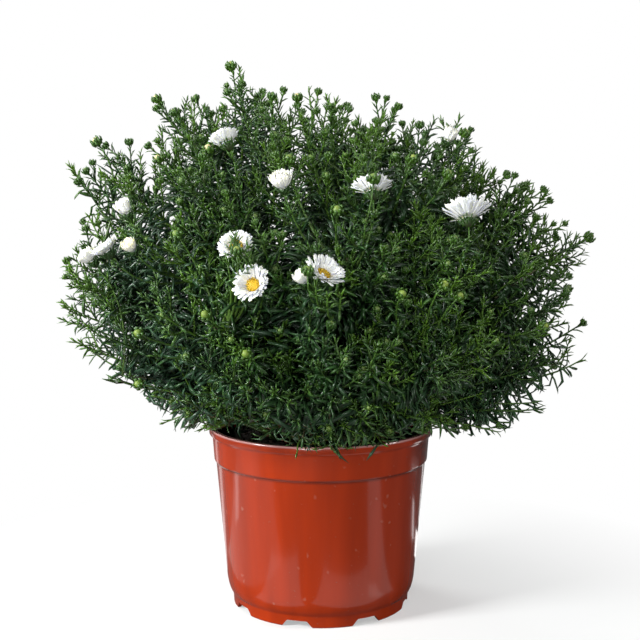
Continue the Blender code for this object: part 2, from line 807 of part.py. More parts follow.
def build_rays(bloom, petals, material, collection):
    """The white petals, drawn out of the rim of a thin hub."""
    chance = random.Random(bloom.name)
    across, up = bloom_frame(bloom)
    half = bloom.way * HUB_THICKNESS / 2
    rim = [bloom.hub] * petals
    bm, _, stages = swept([
        ring_points(bloom.middle - half, across, up, rim),
        ring_points(bloom.middle + half, across, up, rim),
    ])
    for number, face in enumerate(stages[0]):
        middle = face.calc_center_median()
        out = (middle - bloom.middle).normalized()
        layer = LAYER_LIFT if number % 2 else -LAYER_LIFT
        lift = bloom.lift + layer + chance.uniform(-PETAL_SWAY, PETAL_SWAY)
        along = out * math.cos(lift) + bloom.way * math.sin(lift)
        over = bloom.way * math.cos(lift) - out * math.sin(lift)
        sideways = bloom.way.cross(out)
        length = (bloom.radius - bloom.hub) * chance.uniform(*PETAL_VARIES)
        wide = middle + along * length * PETAL_WIDEST
        corners = []
        for vert in face.verts:
            aside = 1 if (vert.co - middle).dot(sideways) > 0 else -1
            above = 1 if (vert.co - middle).dot(bloom.way) > 0 else -1
            corners.append(
                wide + sideways * aside * PETAL_WIDTH / 2 + over * above * PETAL_THICKNESS / 2
            )
        end, _ = grown(bm, face, corners)
        poke_to(bm, end, middle + along * length)
    object_from(bm, f"{bloom.name}_rays", material, collection)


def build_disc(bloom, material, collection):
    """The yellow middle: a low dome whose faces stand out as florets."""
    across, up = bloom_frame(bloom)
    foot = bloom.middle + bloom.way * (HUB_THICKNESS / 2 + GAP)
    rings = []
    for share, wide in DISC_PROFILE:
        middle = foot + bloom.way * DISC_HEIGHT * share
        rings.append(ring_points(middle, across, up, [DISC_RADIUS * wide] * DISC_SIDES, share))
    bm, _, stages = swept(rings)
    for face in stages[1]:
        out = face.calc_center_median() - foot
        poke_to(bm, face, foot + out * FLORET_RISE)
    object_from(bm, f"{bloom.name}_disc", material, collection)


def build_soil(stems, collection, cutters):
    """The soil, a plug that fills the pot, with a lumpy top and a plain hole for each stem."""
    material = new_material("soil", (0.030, 0.022, 0.016), 0.95)
    collar = POT_HEIGHT - COLLAR_HEIGHT
    inner_wall = COLLAR_RADIUS - STEP_DEPTH - WALL
    floor = BASE_UNDERSIDE + WALL + GAP
    flat = math.cos(math.pi / POT_STEPS)
    edge = (COLLAR_RADIUS - WALL) * flat - GAP
    profile = [(0.0, SOIL_TOP)] + [(radius, SOIL_TOP) for radius in SOIL_RINGS]
    profile += [
        (edge, SOIL_TOP - SOIL_EDGE_DROP),
        (edge, collar + GAP),
        (inner_wall * flat - GAP, collar - WALL + GAP),
        ((WALL_LOW_RADIUS - WALL) * flat - GAP, WALL_LOW_Z),
        (FLOOR_RADIUS * flat - GAP, floor),
        (0.0, floor),
    ]
    soil = applied(turned("soil", profile, SOIL_STEPS, material, collection))
    for vert in soil.data.vertices:
        if vert.co.z > SOIL_TOP - GAP:
            vert.co.z += SOIL_RELIEF * noise.noise(vert.co * SOIL_LUMPS_PER_METRE)
    for stem in stems:
        along = stem.root() - stem.base
        ring = [HOLE_RADIUS] * STEM_SIDES
        bottom = stem.root() + along.normalized() * (HOLE_DEPTH - ROOT_DEPTH)
        top = stem.base - along * HOLE_TOP
        up = stem.up_at(0.0)
        hole, _, _ = swept([
            ring_points(bottom, stem.side, up, ring), ring_points(top, stem.side, up, ring)
        ])
        cut(soil, as_cutter(object_from(hole, f"stem_hole_{stem.index + 1}", None, cutters)))


def main():
    clear_scene()
    parts = new_collection("potted_aster")
    cutters = new_collection("cutters", hidden=True)
    build_pot(parts, cutters)
    stems = [LeafyStem(index) for index in range(STEMS)]
    build_soil(stems, parts, cutters)
    open_blooms = [Bloom(*row, OPEN_LIFT, stems) for row in OPEN_BLOOMS + BACK_BLOOMS]
    half_open = [Bloom(*row, HALF_OPEN_LIFT, stems) for row in HALF_OPEN_BLOOMS]
    green = new_material("aster_green", (0.045, 0.105, 0.030), 0.60)
    white = new_material("petal_white", (0.86, 0.86, 0.84), 0.55)
    yellow = new_material("disc_yellow", (0.75, 0.50, 0.04), 0.60)
    cells = cell_walls(stems)
    give_named_tips(stems, cells)
    for stem, walls in zip(stems, cells):
        leafy_stem(stem, walls, open_blooms + half_open, green, parts)
    for bloom in open_blooms:
        build_rays(bloom, PETALS, white, parts)
        build_disc(bloom, yellow, parts)
    for bloom in half_open:
        build_rays(bloom, HALF_OPEN_PETALS, white, parts)


main()
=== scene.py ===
"""Potted aster: the leaves, blooms, pot and soil as they look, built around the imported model.

Metres, +Z up, with the front towards -Y. Each leafy stem, each bloom's petals, each open bloom's
florets, the pot and its soil are one piece each, and each piece stands for one solid.
"""

import math

import bpy
import numpy as np
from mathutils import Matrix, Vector, noise


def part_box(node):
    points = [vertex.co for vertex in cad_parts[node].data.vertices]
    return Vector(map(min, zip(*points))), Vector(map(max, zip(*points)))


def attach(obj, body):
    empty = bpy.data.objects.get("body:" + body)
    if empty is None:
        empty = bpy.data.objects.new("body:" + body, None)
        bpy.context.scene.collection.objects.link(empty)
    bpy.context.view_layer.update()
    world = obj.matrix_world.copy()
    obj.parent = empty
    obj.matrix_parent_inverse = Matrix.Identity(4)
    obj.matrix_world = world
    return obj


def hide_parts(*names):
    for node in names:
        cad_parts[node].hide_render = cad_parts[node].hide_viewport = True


bl_info = {
    "name": "Potted Aster",
    "version": (1, 0, 0),
    "blender": (4, 5, 0),
    "location": "3D View > Sidebar > Aster",
    "description": "Builds a bushy white aster in its nursery pot",
    "category": "Add Mesh",
}

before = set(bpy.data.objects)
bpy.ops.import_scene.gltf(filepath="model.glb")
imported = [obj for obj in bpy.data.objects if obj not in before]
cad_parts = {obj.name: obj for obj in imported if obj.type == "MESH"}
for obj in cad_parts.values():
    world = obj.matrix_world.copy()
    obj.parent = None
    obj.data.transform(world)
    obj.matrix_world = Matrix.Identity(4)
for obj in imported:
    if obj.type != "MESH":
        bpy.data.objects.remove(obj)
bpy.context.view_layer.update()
POT_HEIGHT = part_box("pot")[1].z

GOLDEN_ANGLE = math.pi * (3 - math.sqrt(5))
UP = np.array((0.0, 0.0, 1.0))

# Pot: the same sizes as the solid.
WALL = 0.0018
LIP_RADIUS = 0.0850
LIP_HEIGHT = 0.0055
COLLAR_TOP_RADIUS = 0.0826
COLLAR_RADIUS = 0.0812
COLLAR_HEIGHT = 0.0258
COLLAR_BOTTOM = POT_HEIGHT - COLLAR_HEIGHT
STEP_DEPTH = 0.0014
WALL_LOW_RADIUS = 0.0717
WALL_LOW_Z = 0.0185
CORNER_RADIUS = 0.0691
CORNER_Z = 0.0105
FOOT_RADIUS = 0.0675
FOOT_HEIGHT = 0.0089
FOOT_WIDTH = 0.0036
BASE_UNDERSIDE = 0.0065
BASE_TOP = BASE_UNDERSIDE + WALL
NOTCHES = 8
NOTCH_TURN = math.radians(30)
NOTCH_TOP = 0.015
NOTCH_FOOT = 0.023
NOTCH_HEIGHT = 0.0050
NOTCH_ROUNDING = 0.0012
DRAIN_RADIUS = 0.0045
DRAIN_CIRCLE = 0.052

# Soil: its top, the gap that it keeps from the pot, and its lumps as (height, how many a metre).
SOIL_TOP = 0.1265
SOIL_GAP = 0.0004
SOIL_RINGS = 34
SOIL_LUMPS = ((0.0016, 60), (0.0011, 260), (0.0006, 700))
CRUMBS = 520

# Bush: the stems' fan and its outline, as in the solid. Outlines are lists of elevations in
# degrees and of reaches, as seen from the bush's middle.
FAN_POINT = np.array((0.0, 0.0, 0.100))
BUSH_MIDDLE = np.array((0.0, 0.0, 0.155))
RIGHT_OUTLINE = (
    (-14, -8, -2, 6, 9, 19, 24, 32, 43, 55, 64, 70, 76, 84, 90),
    (0.112, 0.138, 0.160, 0.196, 0.204, 0.208, 0.214, 0.236, 0.235, 0.218, 0.241, 0.230, 0.237,
     0.226, 0.236),
)
LEFT_OUTLINE = (
    (-14, -6, 2, 7, 10, 12, 21, 26, 36, 40, 44, 50, 53, 62, 70, 76, 80, 85, 90),
    (0.112, 0.124, 0.128, 0.140, 0.178, 0.190, 0.211, 0.221, 0.226, 0.240, 0.262, 0.256, 0.243,
     0.258, 0.251, 0.261, 0.240, 0.228, 0.236),
)
DEPTH_OUTLINE = (
    (-14, -5, 3, 12, 22, 38, 55, 75, 90),
    (0.108, 0.124, 0.150, 0.178, 0.196, 0.207, 0.217, 0.231, 0.236),
)
OUTLINE_TIPS = (
    (-0.123, 0.142), (-0.178, 0.194), (-0.199, 0.252), (-0.189, 0.336), (-0.122, 0.383),
    (-0.061, 0.409), (-0.009, 0.397), (0.049, 0.386), (0.104, 0.372), (0.172, 0.315),
    (0.202, 0.281), (0.203, 0.190), (0.160, 0.149),
)
STEMS = 22
STEM_CIRCLE = 0.042
LOWEST_STEM = math.radians(70)
SPIRAL_START = 0.6
BEND_RISE = 0.045
BEND_SPREAD = 0.020
CORE_BELOW_TIP = 0.026
ROOT_DEPTH = 0.014

# Branches: the seed that arranges the bush, how far from the middle its sides begin, the share
# of tips that the open sides keep, how deep lumps and gaps go in from the outline and how close
# together they are, and how far down from its tip each kind of shoot has its root and its leaves.
ARRANGEMENT = 17
LOW_SIDE = 0.090
LOW_SIDE_TOP = 0.205
LOW_SIDE_SHARE = 0.50
OPEN_SIDE = 0.120
OPEN_SIDE_SHARE = 0.72
LOWEST_RISE = -0.26
TIP_DEPTH, TIP_DEPTH_SPREAD = 0.004, 0.016
NAMED_TIP_DEPTH = 0.006
LUMP_DEPTH, LUMPS = 0.024, 4.5
GAP_DEPTH, GAPS = 0.035, 7
BRANCH_ROOT = 0.060
LEAST_ROOT = 0.045
BRANCH_LEAFY = 0.120
STALK_LEAFY = 0.045
BUD_SHOOT_LEAFY = 0.05
SIDE_SHOOT_LEAFY = 0.034
FIRST_SIDE_SHOOT = (0.006, 0.011)
SHORTEST_SIDE_SHOOT, LONGEST_SIDE_SHOOT = 0.011, 0.034

# Radii of main stems and twigs at their foot, and of both at their tip.
STEM_FOOT = 0.0019
TWIG_FOOT, THIN_TWIG_FOOT = 0.0012, 0.0008
TWIG_TIP = 0.0005
TWIG_STEP = 0.014

# Leaves grow up, then old, as they stand further back from the tip of a shoot. From their
# length, width and lean in degrees at the tip they gain what the other values say.
GROWN_BACK = 0.026
OLD_BACK = 0.045
TIP_LENGTH = 0.0054
LOW_LONGER = 0.0012
GROWN_LONGER = 0.0070
LOW_GROWN_LONGER = 0.0064
OLD_LONGER = 0.006
TIP_WIDTH = 0.0012
GROWN_WIDER = 0.0008
OLD_WIDER = 0.0005
TIP_LEAN, GROWN_LEAN = 15, 36
# Inner leaves grow on the main stems, so deep in the bush and so far from the stem at most.
INNER_DEPTH = 0.024
INNER_SPREAD = 0.035
INNER_LENGTH = (0.014, 0.024)
INNER_WIDTH = (0.0024, 0.0034)
# Leaves droop under a height, and most a little further down: at the sides, and by the rim.
SIDE_DROOP = (0.215, 0.04)
RIM_DROOP = (0.172, 0.016)
RIM_LEVEL = 0.14
TOP_ABOVE_RIM = 0.24
# How far leaves may reach out of the outline, and the share of the leaves that stays where they
# would hide the pot's lip.
LEAF_OVERHANG = 0.004
FRINGE_TOP = POT_HEIGHT + 0.005
FRINGE_SHARE = 0.14

# Blooms: (name, place, facing azimuth from the front, facing elevation, radius), as in the
# solid. An elevation over 90 leans back.
OPEN_BLOOMS = (
    ("left_high", -0.062, 0.346, -88, 56, 0.0125),
    ("centre_right_high", 0.033, 0.314, 10, 97, 0.0145),
    ("right_high", 0.094, 0.297, 15, 95, 0.0178),
    ("front_left", -0.041, 0.257, -18, 20, 0.0135),
    ("front_centre", 0.001, 0.263, 42, 42, 0.0145),
    ("left_middle", -0.052, 0.279, -15, 45, 0.0125),
    ("left_side", -0.141, 0.275, -80, 55, 0.0108),
    ("back_left", -0.095, 0.300, 205, 50, 0.0150),
    ("back_middle", 0.030, 0.262, 172, 35, 0.0155),
    ("back_right", 0.120, 0.275, 140, 45, 0.0145),
)
HALF_OPEN_BLOOMS = (
    ("centre_left_high", -0.024, 0.317, -30, 62, 0.0130),
    ("left_upper", -0.127, 0.300, -70, 62, 0.0120),
    ("left_outer", -0.153, 0.268, -75, 50, 0.0115),
    ("right_upper", 0.087, 0.349, 60, 65, 0.0115),
    ("left_lower", -0.122, 0.277, -40, 45, 0.0100),
    ("front_small", -0.010, 0.260, -50, 45, 0.0100),
)
OPEN_LIFT = 38
HALF_OPEN_LIFT = 68
# How many degrees a bloom is turned round and further up than its solid, how many wider it
# spreads, how near leaves come in front of it (1 is just clear of it), and how cream it is.
TURNED = {
    "left_high": (-39, 3), "centre_right_high": (0, 18), "right_high": (0, 20),
    "front_centre": (0, 4),
}
SPREAD = {"centre_left_high": 17, "left_outer": 16, "left_high": -12}
NEARNESS = {"left_middle": 0.45, "front_centre": 0.75, "left_side": 0.80}
CREAM = {"left_lower": 1.5}
# The side on which a bloom's petals are shorter, as a direction whose length says by how much.
SHORT_SIDE = {
    "front_centre": (-0.32, 0, -0.52), "front_left": (0.26, 0, -0.30), "left_high": (0.10, 0, 0),
}
# The rows of petals: each row's lift over the bloom's, in degrees, and its share of the length.
OPEN_ROWS = ((-7, 1.0), (5, 0.98), (14, 0.88))
HALF_OPEN_ROWS = ((-16, 1.0), (-4, 1.0), (8, 0.95))
HALF_OPEN_PETALS = 20
HUB_RADIUS = 0.0046
HALF_OPEN_HUB = 0.0030
HUB_THICKNESS = 0.0009
HUB_SHOWN = 0.80
CUP_DEPTH = 0.0052
CUP_RADII = np.array((0.30, 0.74, 0.95, 0.90))
CUP_SCALES = 26
CUP_SCALE_LENGTH, CUP_SCALE_WIDTH = 0.0042, 0.0011
DISC_RADIUS = 0.0043
DISC_HEIGHT = 0.0026
DISC_RADII = np.array((0.90, 0.88, 0.62, 0.25))
DISC_LEVELS = np.array((0.0, 0.35, 0.62, 0.74))
# How deep a bloom sits in the outline, and how far back from it its stalk leaves the stem.
BLOOM_INSET = 0.002
STALK_ROOT = 0.060

# The lowest that leaves hang over the rim, by the angle from the front in degrees.
HANG_AT = (-180, -110, -85, -62, -45, -18, -8, 5, 25, 42, 60, 80, 110, 180)
HANG_LOWEST = (0.142, 0.130, 0.127, 0.139, 0.152, 0.152, 0.134, 0.127, 0.131, 0.142, 0.141,
               0.130, 0.131, 0.142)

# Large buds about to open: (place as seen from the front, how cream the top is, how far it
# stands out from the outline).
BUDS = (
    (-0.118, 0.378, 0.9, -0.004), (-0.161, 0.347, 1.0, -0.004), (-0.106, 0.333, 0.8, -0.004),
    (-0.073, 0.339, 0.9, -0.004), (-0.065, 0.402, 0.5, -0.004), (-0.016, 0.376, 1.0, -0.004),
    (0.196, 0.278, 0.7, -0.004), (0.144, 0.225, 0.4, -0.002), (0.075, 0.255, 0.4, -0.002),
    (0.085, 0.248, 0.25, -0.002), (0.049, 0.250, 0.25, -0.002), (-0.117, 0.188, 0.2, -0.004),
    (-0.114, 0.223, 0.2, -0.004), (-0.045, 0.214, 0.2, -0.004), (-0.070, 0.237, 0.2, -0.004),
    (0.033, 0.319, 0.1, 0.008), (-0.051, 0.2755, 0.5, 0.010), (-0.008, 0.264, 0.1, 0.008),
    (0.060, 0.333, 0.5, -0.006), (0.083, 0.323, 0.2, -0.004), (0.010, 0.300, 0.2, -0.004),
    (-0.020, 0.332, 0.1, -0.004), (0.100, 0.352, 0.4, -0.004), (-0.090, 0.285, 0.1, -0.004),
)
END_BUD = (0.0034, 0.0057)
LARGE_BUD = (0.0062, 0.0074)
# Tips of leafy shoots that stand in front of blooms, and how far they stand out.
FRONT_SHOOTS = (
    (-0.049, 0.273), (-0.044, 0.280), (-0.057, 0.271), (-0.043, 0.274), (-0.003, 0.258),
    (0.004, 0.252), (0.012, 0.252), (-0.053, 0.288), (-0.052, 0.285), (-0.055, 0.279),
    (-0.046, 0.277),
)
FRONT_PROUD = 0.010
FRONT_LEAFY = 0.016
# Tips low at the front, whose leaves hang over the rim.
RIM_TIPS = (
    (-0.020, 0.158), (-0.004, 0.150), (0.010, 0.146), (0.024, 0.150), (0.042, 0.157),
    (0.002, 0.160), (0.030, 0.162), (-0.030, 0.166),
)
RIM_TIP_RADIUS = 0.106

# Blades are closed and keeled. Each is a list of (share of length, width, depth).
SMALL_LEAF = ((0.0, 0.32, 0.30), (0.60, 0.50, 0.34), (1.0, 0.2, 0.2))
NARROW_LEAF = ((0.0, 0.20, 0.22), (0.42, 0.48, 0.24), (0.82, 0.42, 0.20), (1.0, 0.2, 0.2))
KEELED_WIDTH = math.sqrt(3) / 2
# The measures in a blade's row, after its root, way and up.
LENGTH, WIDTH, CURL, TONE, YOUNG = range(9, 14)
LEAST_CURL = 1e-4
# The materials of a leafy stem, by their place in its list.
LEAF, TWIG, BUD, BARK = range(4)

# Colours, as linear red, green and blue.
DUST = (0.16, 0.09, 0.06)
DRIED_SPLASH = (0.45, 0.26, 0.20)
SEAM_SHADE = (0.110, 0.012, 0.003)
# A painted highlight along the lip's rounded outer edge.
PAINTED_LIP_HIGHLIGHT = (0.60, 0.38, 0.37)
# Painted shade on the lip's flat top.
PAINTED_LIP_TOP_SHADE = (0.20, 0.085, 0.080)
# A painted bluish sheen, in patches on the leaves.
PAINTED_BLUISH_SHEEN = (0.027, 0.066, 0.038)
# Painted light and sheen on the leaves low on the bush, by the rim.
PAINTED_RIM_LEAF_LIGHT = (0.050, 0.110, 0.058)
OLD_TWIG = (0.035, 0.045, 0.018)
BUD_TOP = (0.17, 0.23, 0.05)
OPENING_BUD = (0.36, 0.46, 0.05)
CREAM_BUD = (0.66, 0.55, 0.28)
DARK_BARK, PALE_BARK = (0.040, 0.045, 0.020), (0.090, 0.075, 0.035)
DARK_PEAT, BROWN_PEAT = (0.010, 0.008, 0.006), (0.035, 0.024, 0.016)
PALE_CRUMB = (0.070, 0.046, 0.028)
PETAL_SHADE, PETAL_WHITE = (0.80, 0.82, 0.84), (0.92, 0.92, 0.90)
PETAL_FOOT = (0.55, 0.62, 0.30)
PETAL_CREAM = (0.88, 0.84, 0.66)
DARK_GOLD, GOLD = (0.36, 0.16, 0.003), (0.74, 0.47, 0.01)
FLORET_GREEN = (0.50, 0.42, 0.03)
FLORET_TIP = (0.86, 0.64, 0.04)
PAPER_AS_LIGHT, PAPER_SEEN = (0.13, 0.12, 0.12), (0.93, 0.93, 0.93)
STUDIO_AS_LIGHT, STUDIO_SEEN = (0.023, 0.023, 0.022), (1.0, 1.0, 1.0)
LOW_SHINE, HIGH_SHINE = (0.036, 0.032, 0.032), (0.90, 0.94, 0.92)

# Stage: soft boxes as (place, width, power), and patches of light that lie on the floor and show
# only as gloss, as (angle from the front, width, nearest, furthest, brightness).
SOFTBOX_AIM = Vector((0, 0, 0.18))
SOFTBOX_COLOUR = (0.97, 0.99, 0.98)
SOFTBOXES = {
    "key_softbox": ((-1.30, -0.70, 0.85), 0.45, 42),
    "front_softbox": ((-0.30, -1.60, 0.18), 0.5, 17),
    "top_softbox": ((-0.20, 0.05, 1.60), 0.7, 4),
    "right_softbox": ((1.30, -0.30, 0.90), 0.5, 10),
    "back_left_softbox": ((-1.00, 0.95, 0.80), 0.6, 11),
}
FLOOR_GLOWS = {
    "left_edge_glow": (-140, 0.060, 0.10, 0.60, 0.8),
    "left_line_glow": (-97, 0.022, 0.19, 0.31, 1.6),
    "left_patch_glow": (-72, 0.050, 0.25, 0.36, 0.5),
    "left_veil_glow": (-78, 0.200, 0.11, 0.40, 0.34),
    "front_left_glow": (-34, 0.070, 0.085, 0.150, 0.60),
    "front_right_glow": (24, 0.105, 0.085, 0.135, 0.55),
    "right_slope_glow": (54, 0.050, 0.10, 0.24, 0.45),
    "right_upper_glow": (113, 0.090, 0.28, 0.37, 2.0),
    "right_line_glow": (118, 0.020, 0.17, 0.23, 1.5),
    "right_lower_glow": (138, 0.050, 0.13, 0.19, 2.0),
    "right_edge_glow": (150, 0.040, 0.22, 0.40, 1.0),
}
CAMERA_PLACE = (0, -0.90, 0.318)
CAMERA_DOWN = 6.42
SENSOR_WIDTH = 36
PHOTO_WIDTH = 640
FOCAL_PIXELS = 1195


class PotSettings(bpy.types.PropertyGroup):
    steps: bpy.props.IntProperty(
        name="Steps", description="Sides of the turned pot", default=144, min=24
    )
    colour: bpy.props.FloatVectorProperty(
        name="Colour", description="Colour of the plastic", subtype="COLOR",
        default=(0.345, 0.026, 0.001), min=0, max=1,
    )
    roughness: bpy.props.FloatProperty(
        name="Roughness", description="Gloss of the plastic", default=0.13, min=0, max=1,
        subtype="FACTOR",
    )


class BushSettings(bpy.types.PropertyGroup):
    branches: bpy.props.IntProperty(
        name="Branches", description="Branches that reach the bush's outline", default=440, min=20
    )
    shoots_down_to: bpy.props.FloatProperty(
        name="Shoots down to", description="How far behind a branch's tip side shoots grow",
        default=0.060, unit="LENGTH", subtype="DISTANCE",
    )
    shoot_gap: bpy.props.FloatProperty(
        name="Shoot gap", description="Distance between the side shoots of a branch",
        default=0.0095, min=0.003, unit="LENGTH", subtype="DISTANCE",
    )
    leaf_spacing: bpy.props.FloatProperty(
        name="Leaf gap", description="Distance between the leaves of a shoot",
        default=0.0021, min=0.0005, unit="LENGTH", subtype="DISTANCE",
    )
    long_leaf: bpy.props.FloatProperty(
        name="Long leaf", description="Leaves longer than this have one more bend",
        default=0.011, unit="LENGTH", subtype="DISTANCE",
    )
    inner_leaves: bpy.props.IntProperty(
        name="Inner leaves", description="Large leaves along each main stem", default=860, min=0
    )
    scales: bpy.props.IntProperty(
        name="Bud scales", description="Scales round each bud", default=12, min=3
    )
    # Dark green is also the painted shade of the inner leaves, which take only the darkest tones.
    dark: bpy.props.FloatVectorProperty(
        name="Dark green", description="Colour of old leaves", subtype="COLOR",
        default=(0.006, 0.022, 0.006), min=0, max=1,
    )
    green: bpy.props.FloatVectorProperty(
        name="Green", description="Colour of full-grown leaves", subtype="COLOR",
        default=(0.021, 0.070, 0.010), min=0, max=1,
    )
    fresh: bpy.props.FloatVectorProperty(
        name="Fresh green", description="Colour of young leaves", subtype="COLOR",
        default=(0.095, 0.205, 0.010), min=0, max=1,
    )


class BloomSettings(bpy.types.PropertyGroup):
    petals: bpy.props.IntProperty(
        name="Petals", description="Petals in each row of an open bloom", default=22, min=5
    )
    petal_width: bpy.props.FloatProperty(
        name="Petal width", description="Width of a petal", default=0.0024, unit="LENGTH",
        subtype="DISTANCE",
    )
    florets: bpy.props.IntProperty(
        name="Florets", description="Florets in a bloom's yellow middle", default=48, min=8
    )


class StageSettings(bpy.types.PropertyGroup):
    floor_size: bpy.props.FloatProperty(
        name="Floor", description="Width of the floor", default=8.0, unit="LENGTH",
        subtype="DISTANCE",
    )
    light: bpy.props.FloatProperty(
        name="Light", description="Strength of the studio light", default=1.0, min=0,
        subtype="FACTOR",
    )


def deselect():
    for obj in bpy.context.selected_objects:
        obj.select_set(False)


def edit_all():
    """Enters edit mode with all of the object selected."""
    bpy.ops.object.mode_set(mode="EDIT")
    bpy.ops.mesh.select_all(action="SELECT")


def leave_outward():
    """Turns all faces outwards and leaves edit mode."""
    bpy.ops.mesh.select_all(action="SELECT")
    bpy.ops.mesh.normals_make_consistent(inside=False)
    bpy.ops.object.mode_set(mode="OBJECT")
    return bpy.context.object


def applied(obj, modifier):
    """Makes a modifier part of an object's mesh."""
    deselect()
    obj.select_set(True)
    bpy.context.view_layer.objects.active = obj
    bpy.ops.object.modifier_apply(modifier=modifier.name)


def taken(obj):
    """The points and triangles of an object, which is then removed."""
    mesh = obj.data
    mesh.calc_loop_triangles()
    points = np.array([vert.co[:] for vert in mesh.vertices])
    triangles = np.array([tri.vertices[:] for tri in mesh.loop_triangles])
    bpy.data.objects.remove(obj)
    bpy.data.meshes.remove(mesh)
    return points, triangles


def placed(piece, slot, *nodes):
    """Lets a piece ride on the part and stand for the named solids."""
    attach(piece, "root")
    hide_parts(*nodes)


def unit(vectors):
    return vectors / np.linalg.norm(vectors, axis=-1, keepdims=True)


def frames_along(headings):
    """Two directions across each heading."""
    across = unit(np.cross(headings, np.array((0.31, 0.17, 0.93))))
    return across, np.cross(headings, across)


def frame_of(heading):
    """Two directions across one heading."""
    return tuple(direction[0] for direction in frames_along(heading[None]))


def spiral(count, start=0.0):
    """Angles that turn by the golden angle, as leaves and florets do."""
    return np.arange(count) * GOLDEN_ANGLE + start


def around(across, over, turn):
    """Directions at the given angles in the plane of two directions."""
    return across * np.cos(turn)[:, None] + over * np.sin(turn)[:, None]


def curve_at(course, shares):
    """Points on the curve from a root, towards a bend, to a tip."""
    root, bend, tip = course
    shares = np.asarray(shares)[:, None]
    return root * (1 - shares) ** 2 + bend * 2 * shares * (1 - shares) + tip * shares ** 2


def headings_at(course, shares):
    """The directions in which a curve runs at shares of it."""
    return unit(curve_at(course, shares + 0.01) - curve_at(course, shares - 0.01))


def halved(low, high, inside):
    """The last value between two bounds for which inside holds."""
    for _ in range(24):
        middle = (low + high) / 2
        keeps = inside(middle)
        low = np.where(keeps, middle, low)
        high = np.where(keeps, high, middle)
    return low


def blade_rows(root, way, up, *measures):
    """Rows for Growth.stamp: length, width, curl, tone, young. One number may serve all rows."""
    return np.column_stack([root, way, up] + [np.broadcast_to(m, len(root)) for m in measures])


def tone_rows(count, tone, along, young):
    """For each point its copy's tone, its share of the length, and how young the copy is."""
    return np.column_stack([np.broadcast_to(value, count) for value in (tone, along, young)])


class Growth:
    """Gathers copies of modelled shapes until they become one mesh.

    Its leaves are pruned before they are stamped. Its unpruned ones, which belong to buds, cups
    and the shoots in front of blooms, always stay.
    """

    def __init__(self):
        self.points, self.triangles, self.tones, self.slots = [], [], [], []
        self.count = 0
        self.leaves, self.unpruned = [], []

    def add(self, points, triangles, tones, slot):
        self.points.append(points)
        self.triangles.append(triangles + self.count)
        self.tones.append(tones)
        self.slots.append(np.full(len(triangles), slot))
        self.count += len(points)

    def stamp(self, shape, blades, slot):
        """Adds a copy of a shape for each row, bent along its length by the row's curl."""
        points, triangles = shape
        root, way, up = blades[:, 0:3], blades[:, 3:6], blades[:, 6:9]
        length, width = blades[:, LENGTH, None], blades[:, WIDTH, None]
        curl = blades[:, CURL, None] + LEAST_CURL
        side = unit(np.cross(way, up))
        up = np.cross(side, way)
        turn = curl * points[None, :, 2]
        depth = -points[None, :, 1] * width
        ahead = np.sin(turn) / curl * length + depth * np.sin(turn)
        rise = (np.cos(turn) - 1) / curl * length + depth * np.cos(turn)
        aside = points[None, :, 0] * width / KEELED_WIDTH
        places = root[:, None] + ahead[..., None] * way[:, None]
        places += rise[..., None] * up[:, None] + aside[..., None] * side[:, None]
        count, each = len(blades), len(points)
        corners = triangles[None] + (np.arange(count) * each)[:, None, None]
        tones = tone_rows(
            count * each, np.repeat(blades[:, TONE], each), np.tile(points[:, 2], count),
            np.repeat(blades[:, YOUNG], each),
        )
        self.add(places.reshape(-1, 3), corners.reshape(-1, 3), tones, slot)

    def tube(self, line, radii, sides, young, slot):
        """A closed tube round a line of points."""
        across, over = frames_along(unit(np.gradient(line, axis=0)))
        turn = np.arange(sides) * math.tau / sides
        ring = across[:, None] * np.cos(turn)[None, :, None]
        ring = ring + over[:, None] * np.sin(turn)[None, :, None]
        points = (line[:, None] + radii[:, None, None] * ring).reshape(-1, 3)
        low = np.arange(len(line) - 1)[:, None] * sides
        this = np.arange(sides)[None]
        a, b = low + this, low + (this + 1) % sides
        walls = [np.stack([a, b, b + sides], -1), np.stack([a, b + sides, a + sides], -1)]
        last = (len(line) - 1) * sides
        caps = [(0, i + 1, i) for i in range(1, sides - 1)]
        caps += [(last, last + i, last + i + 1) for i in range(1, sides - 1)]
        triangles = np.concatenate([walls[0].reshape(-1, 3), walls[1].reshape(-1, 3), caps])
        along = np.repeat(np.linspace(0, 1, len(line)), sides)
        self.add(points, triangles, tone_rows(len(points), 0.5, along, young), slot)

    def made(self, name, materials):
        """One mesh object of all that was gathered."""
        mesh = bpy.data.meshes.new(name)
        points = np.concatenate(self.points)
        triangles = np.concatenate(self.triangles)
        mesh.vertices.add(len(points))
        mesh.vertices.foreach_set("co", points.astype(np.float32).ravel())
        mesh.loops.add(triangles.size)
        mesh.loops.foreach_set("vertex_index", triangles.astype(np.int32).ravel())
        mesh.polygons.add(len(triangles))
        starts = np.arange(len(triangles), dtype=np.int32) * 3
        mesh.polygons.foreach_set("loop_start", starts)
        slots = np.concatenate(self.slots).astype(np.int32)
        mesh.polygons.foreach_set("material_index", slots)
        mesh.update(calc_edges=True)
        tone = mesh.attributes.new("plant_tone", "FLOAT_VECTOR", "POINT")
        tones = np.concatenate(self.tones).astype(np.float32)
        tone.data.foreach_set("vector", tones.ravel())
        for material in materials:
            mesh.materials.append(material)
        obj = bpy.data.objects.new(name, mesh)
        bpy.context.scene.collection.objects.link(obj)
        return obj


def model_blade(rings):
    """A keeled blade of unit length along Z: a triangle extruded, resized and closed to a tip."""
    deselect()
    bpy.ops.mesh.primitive_circle_add(vertices=3, radius=1.0, fill_type="NGON")
    edit_all()
    at, wide, deep = 0.0, 1.0, 1.0
    for share, width, depth in rings:
        if share > 0:
            bpy.ops.mesh.extrude_region_move(
                TRANSFORM_OT_translate={"value": (0, 0, share - at)}
            )
        scale = (width / wide, depth / deep, 1)
        bpy.ops.transform.resize(value=scale, center_override=(0, 0, share))
        at, wide, deep = share, width, depth
    bpy.ops.mesh.merge(type="CENTER")
    return taken(leave_outward())


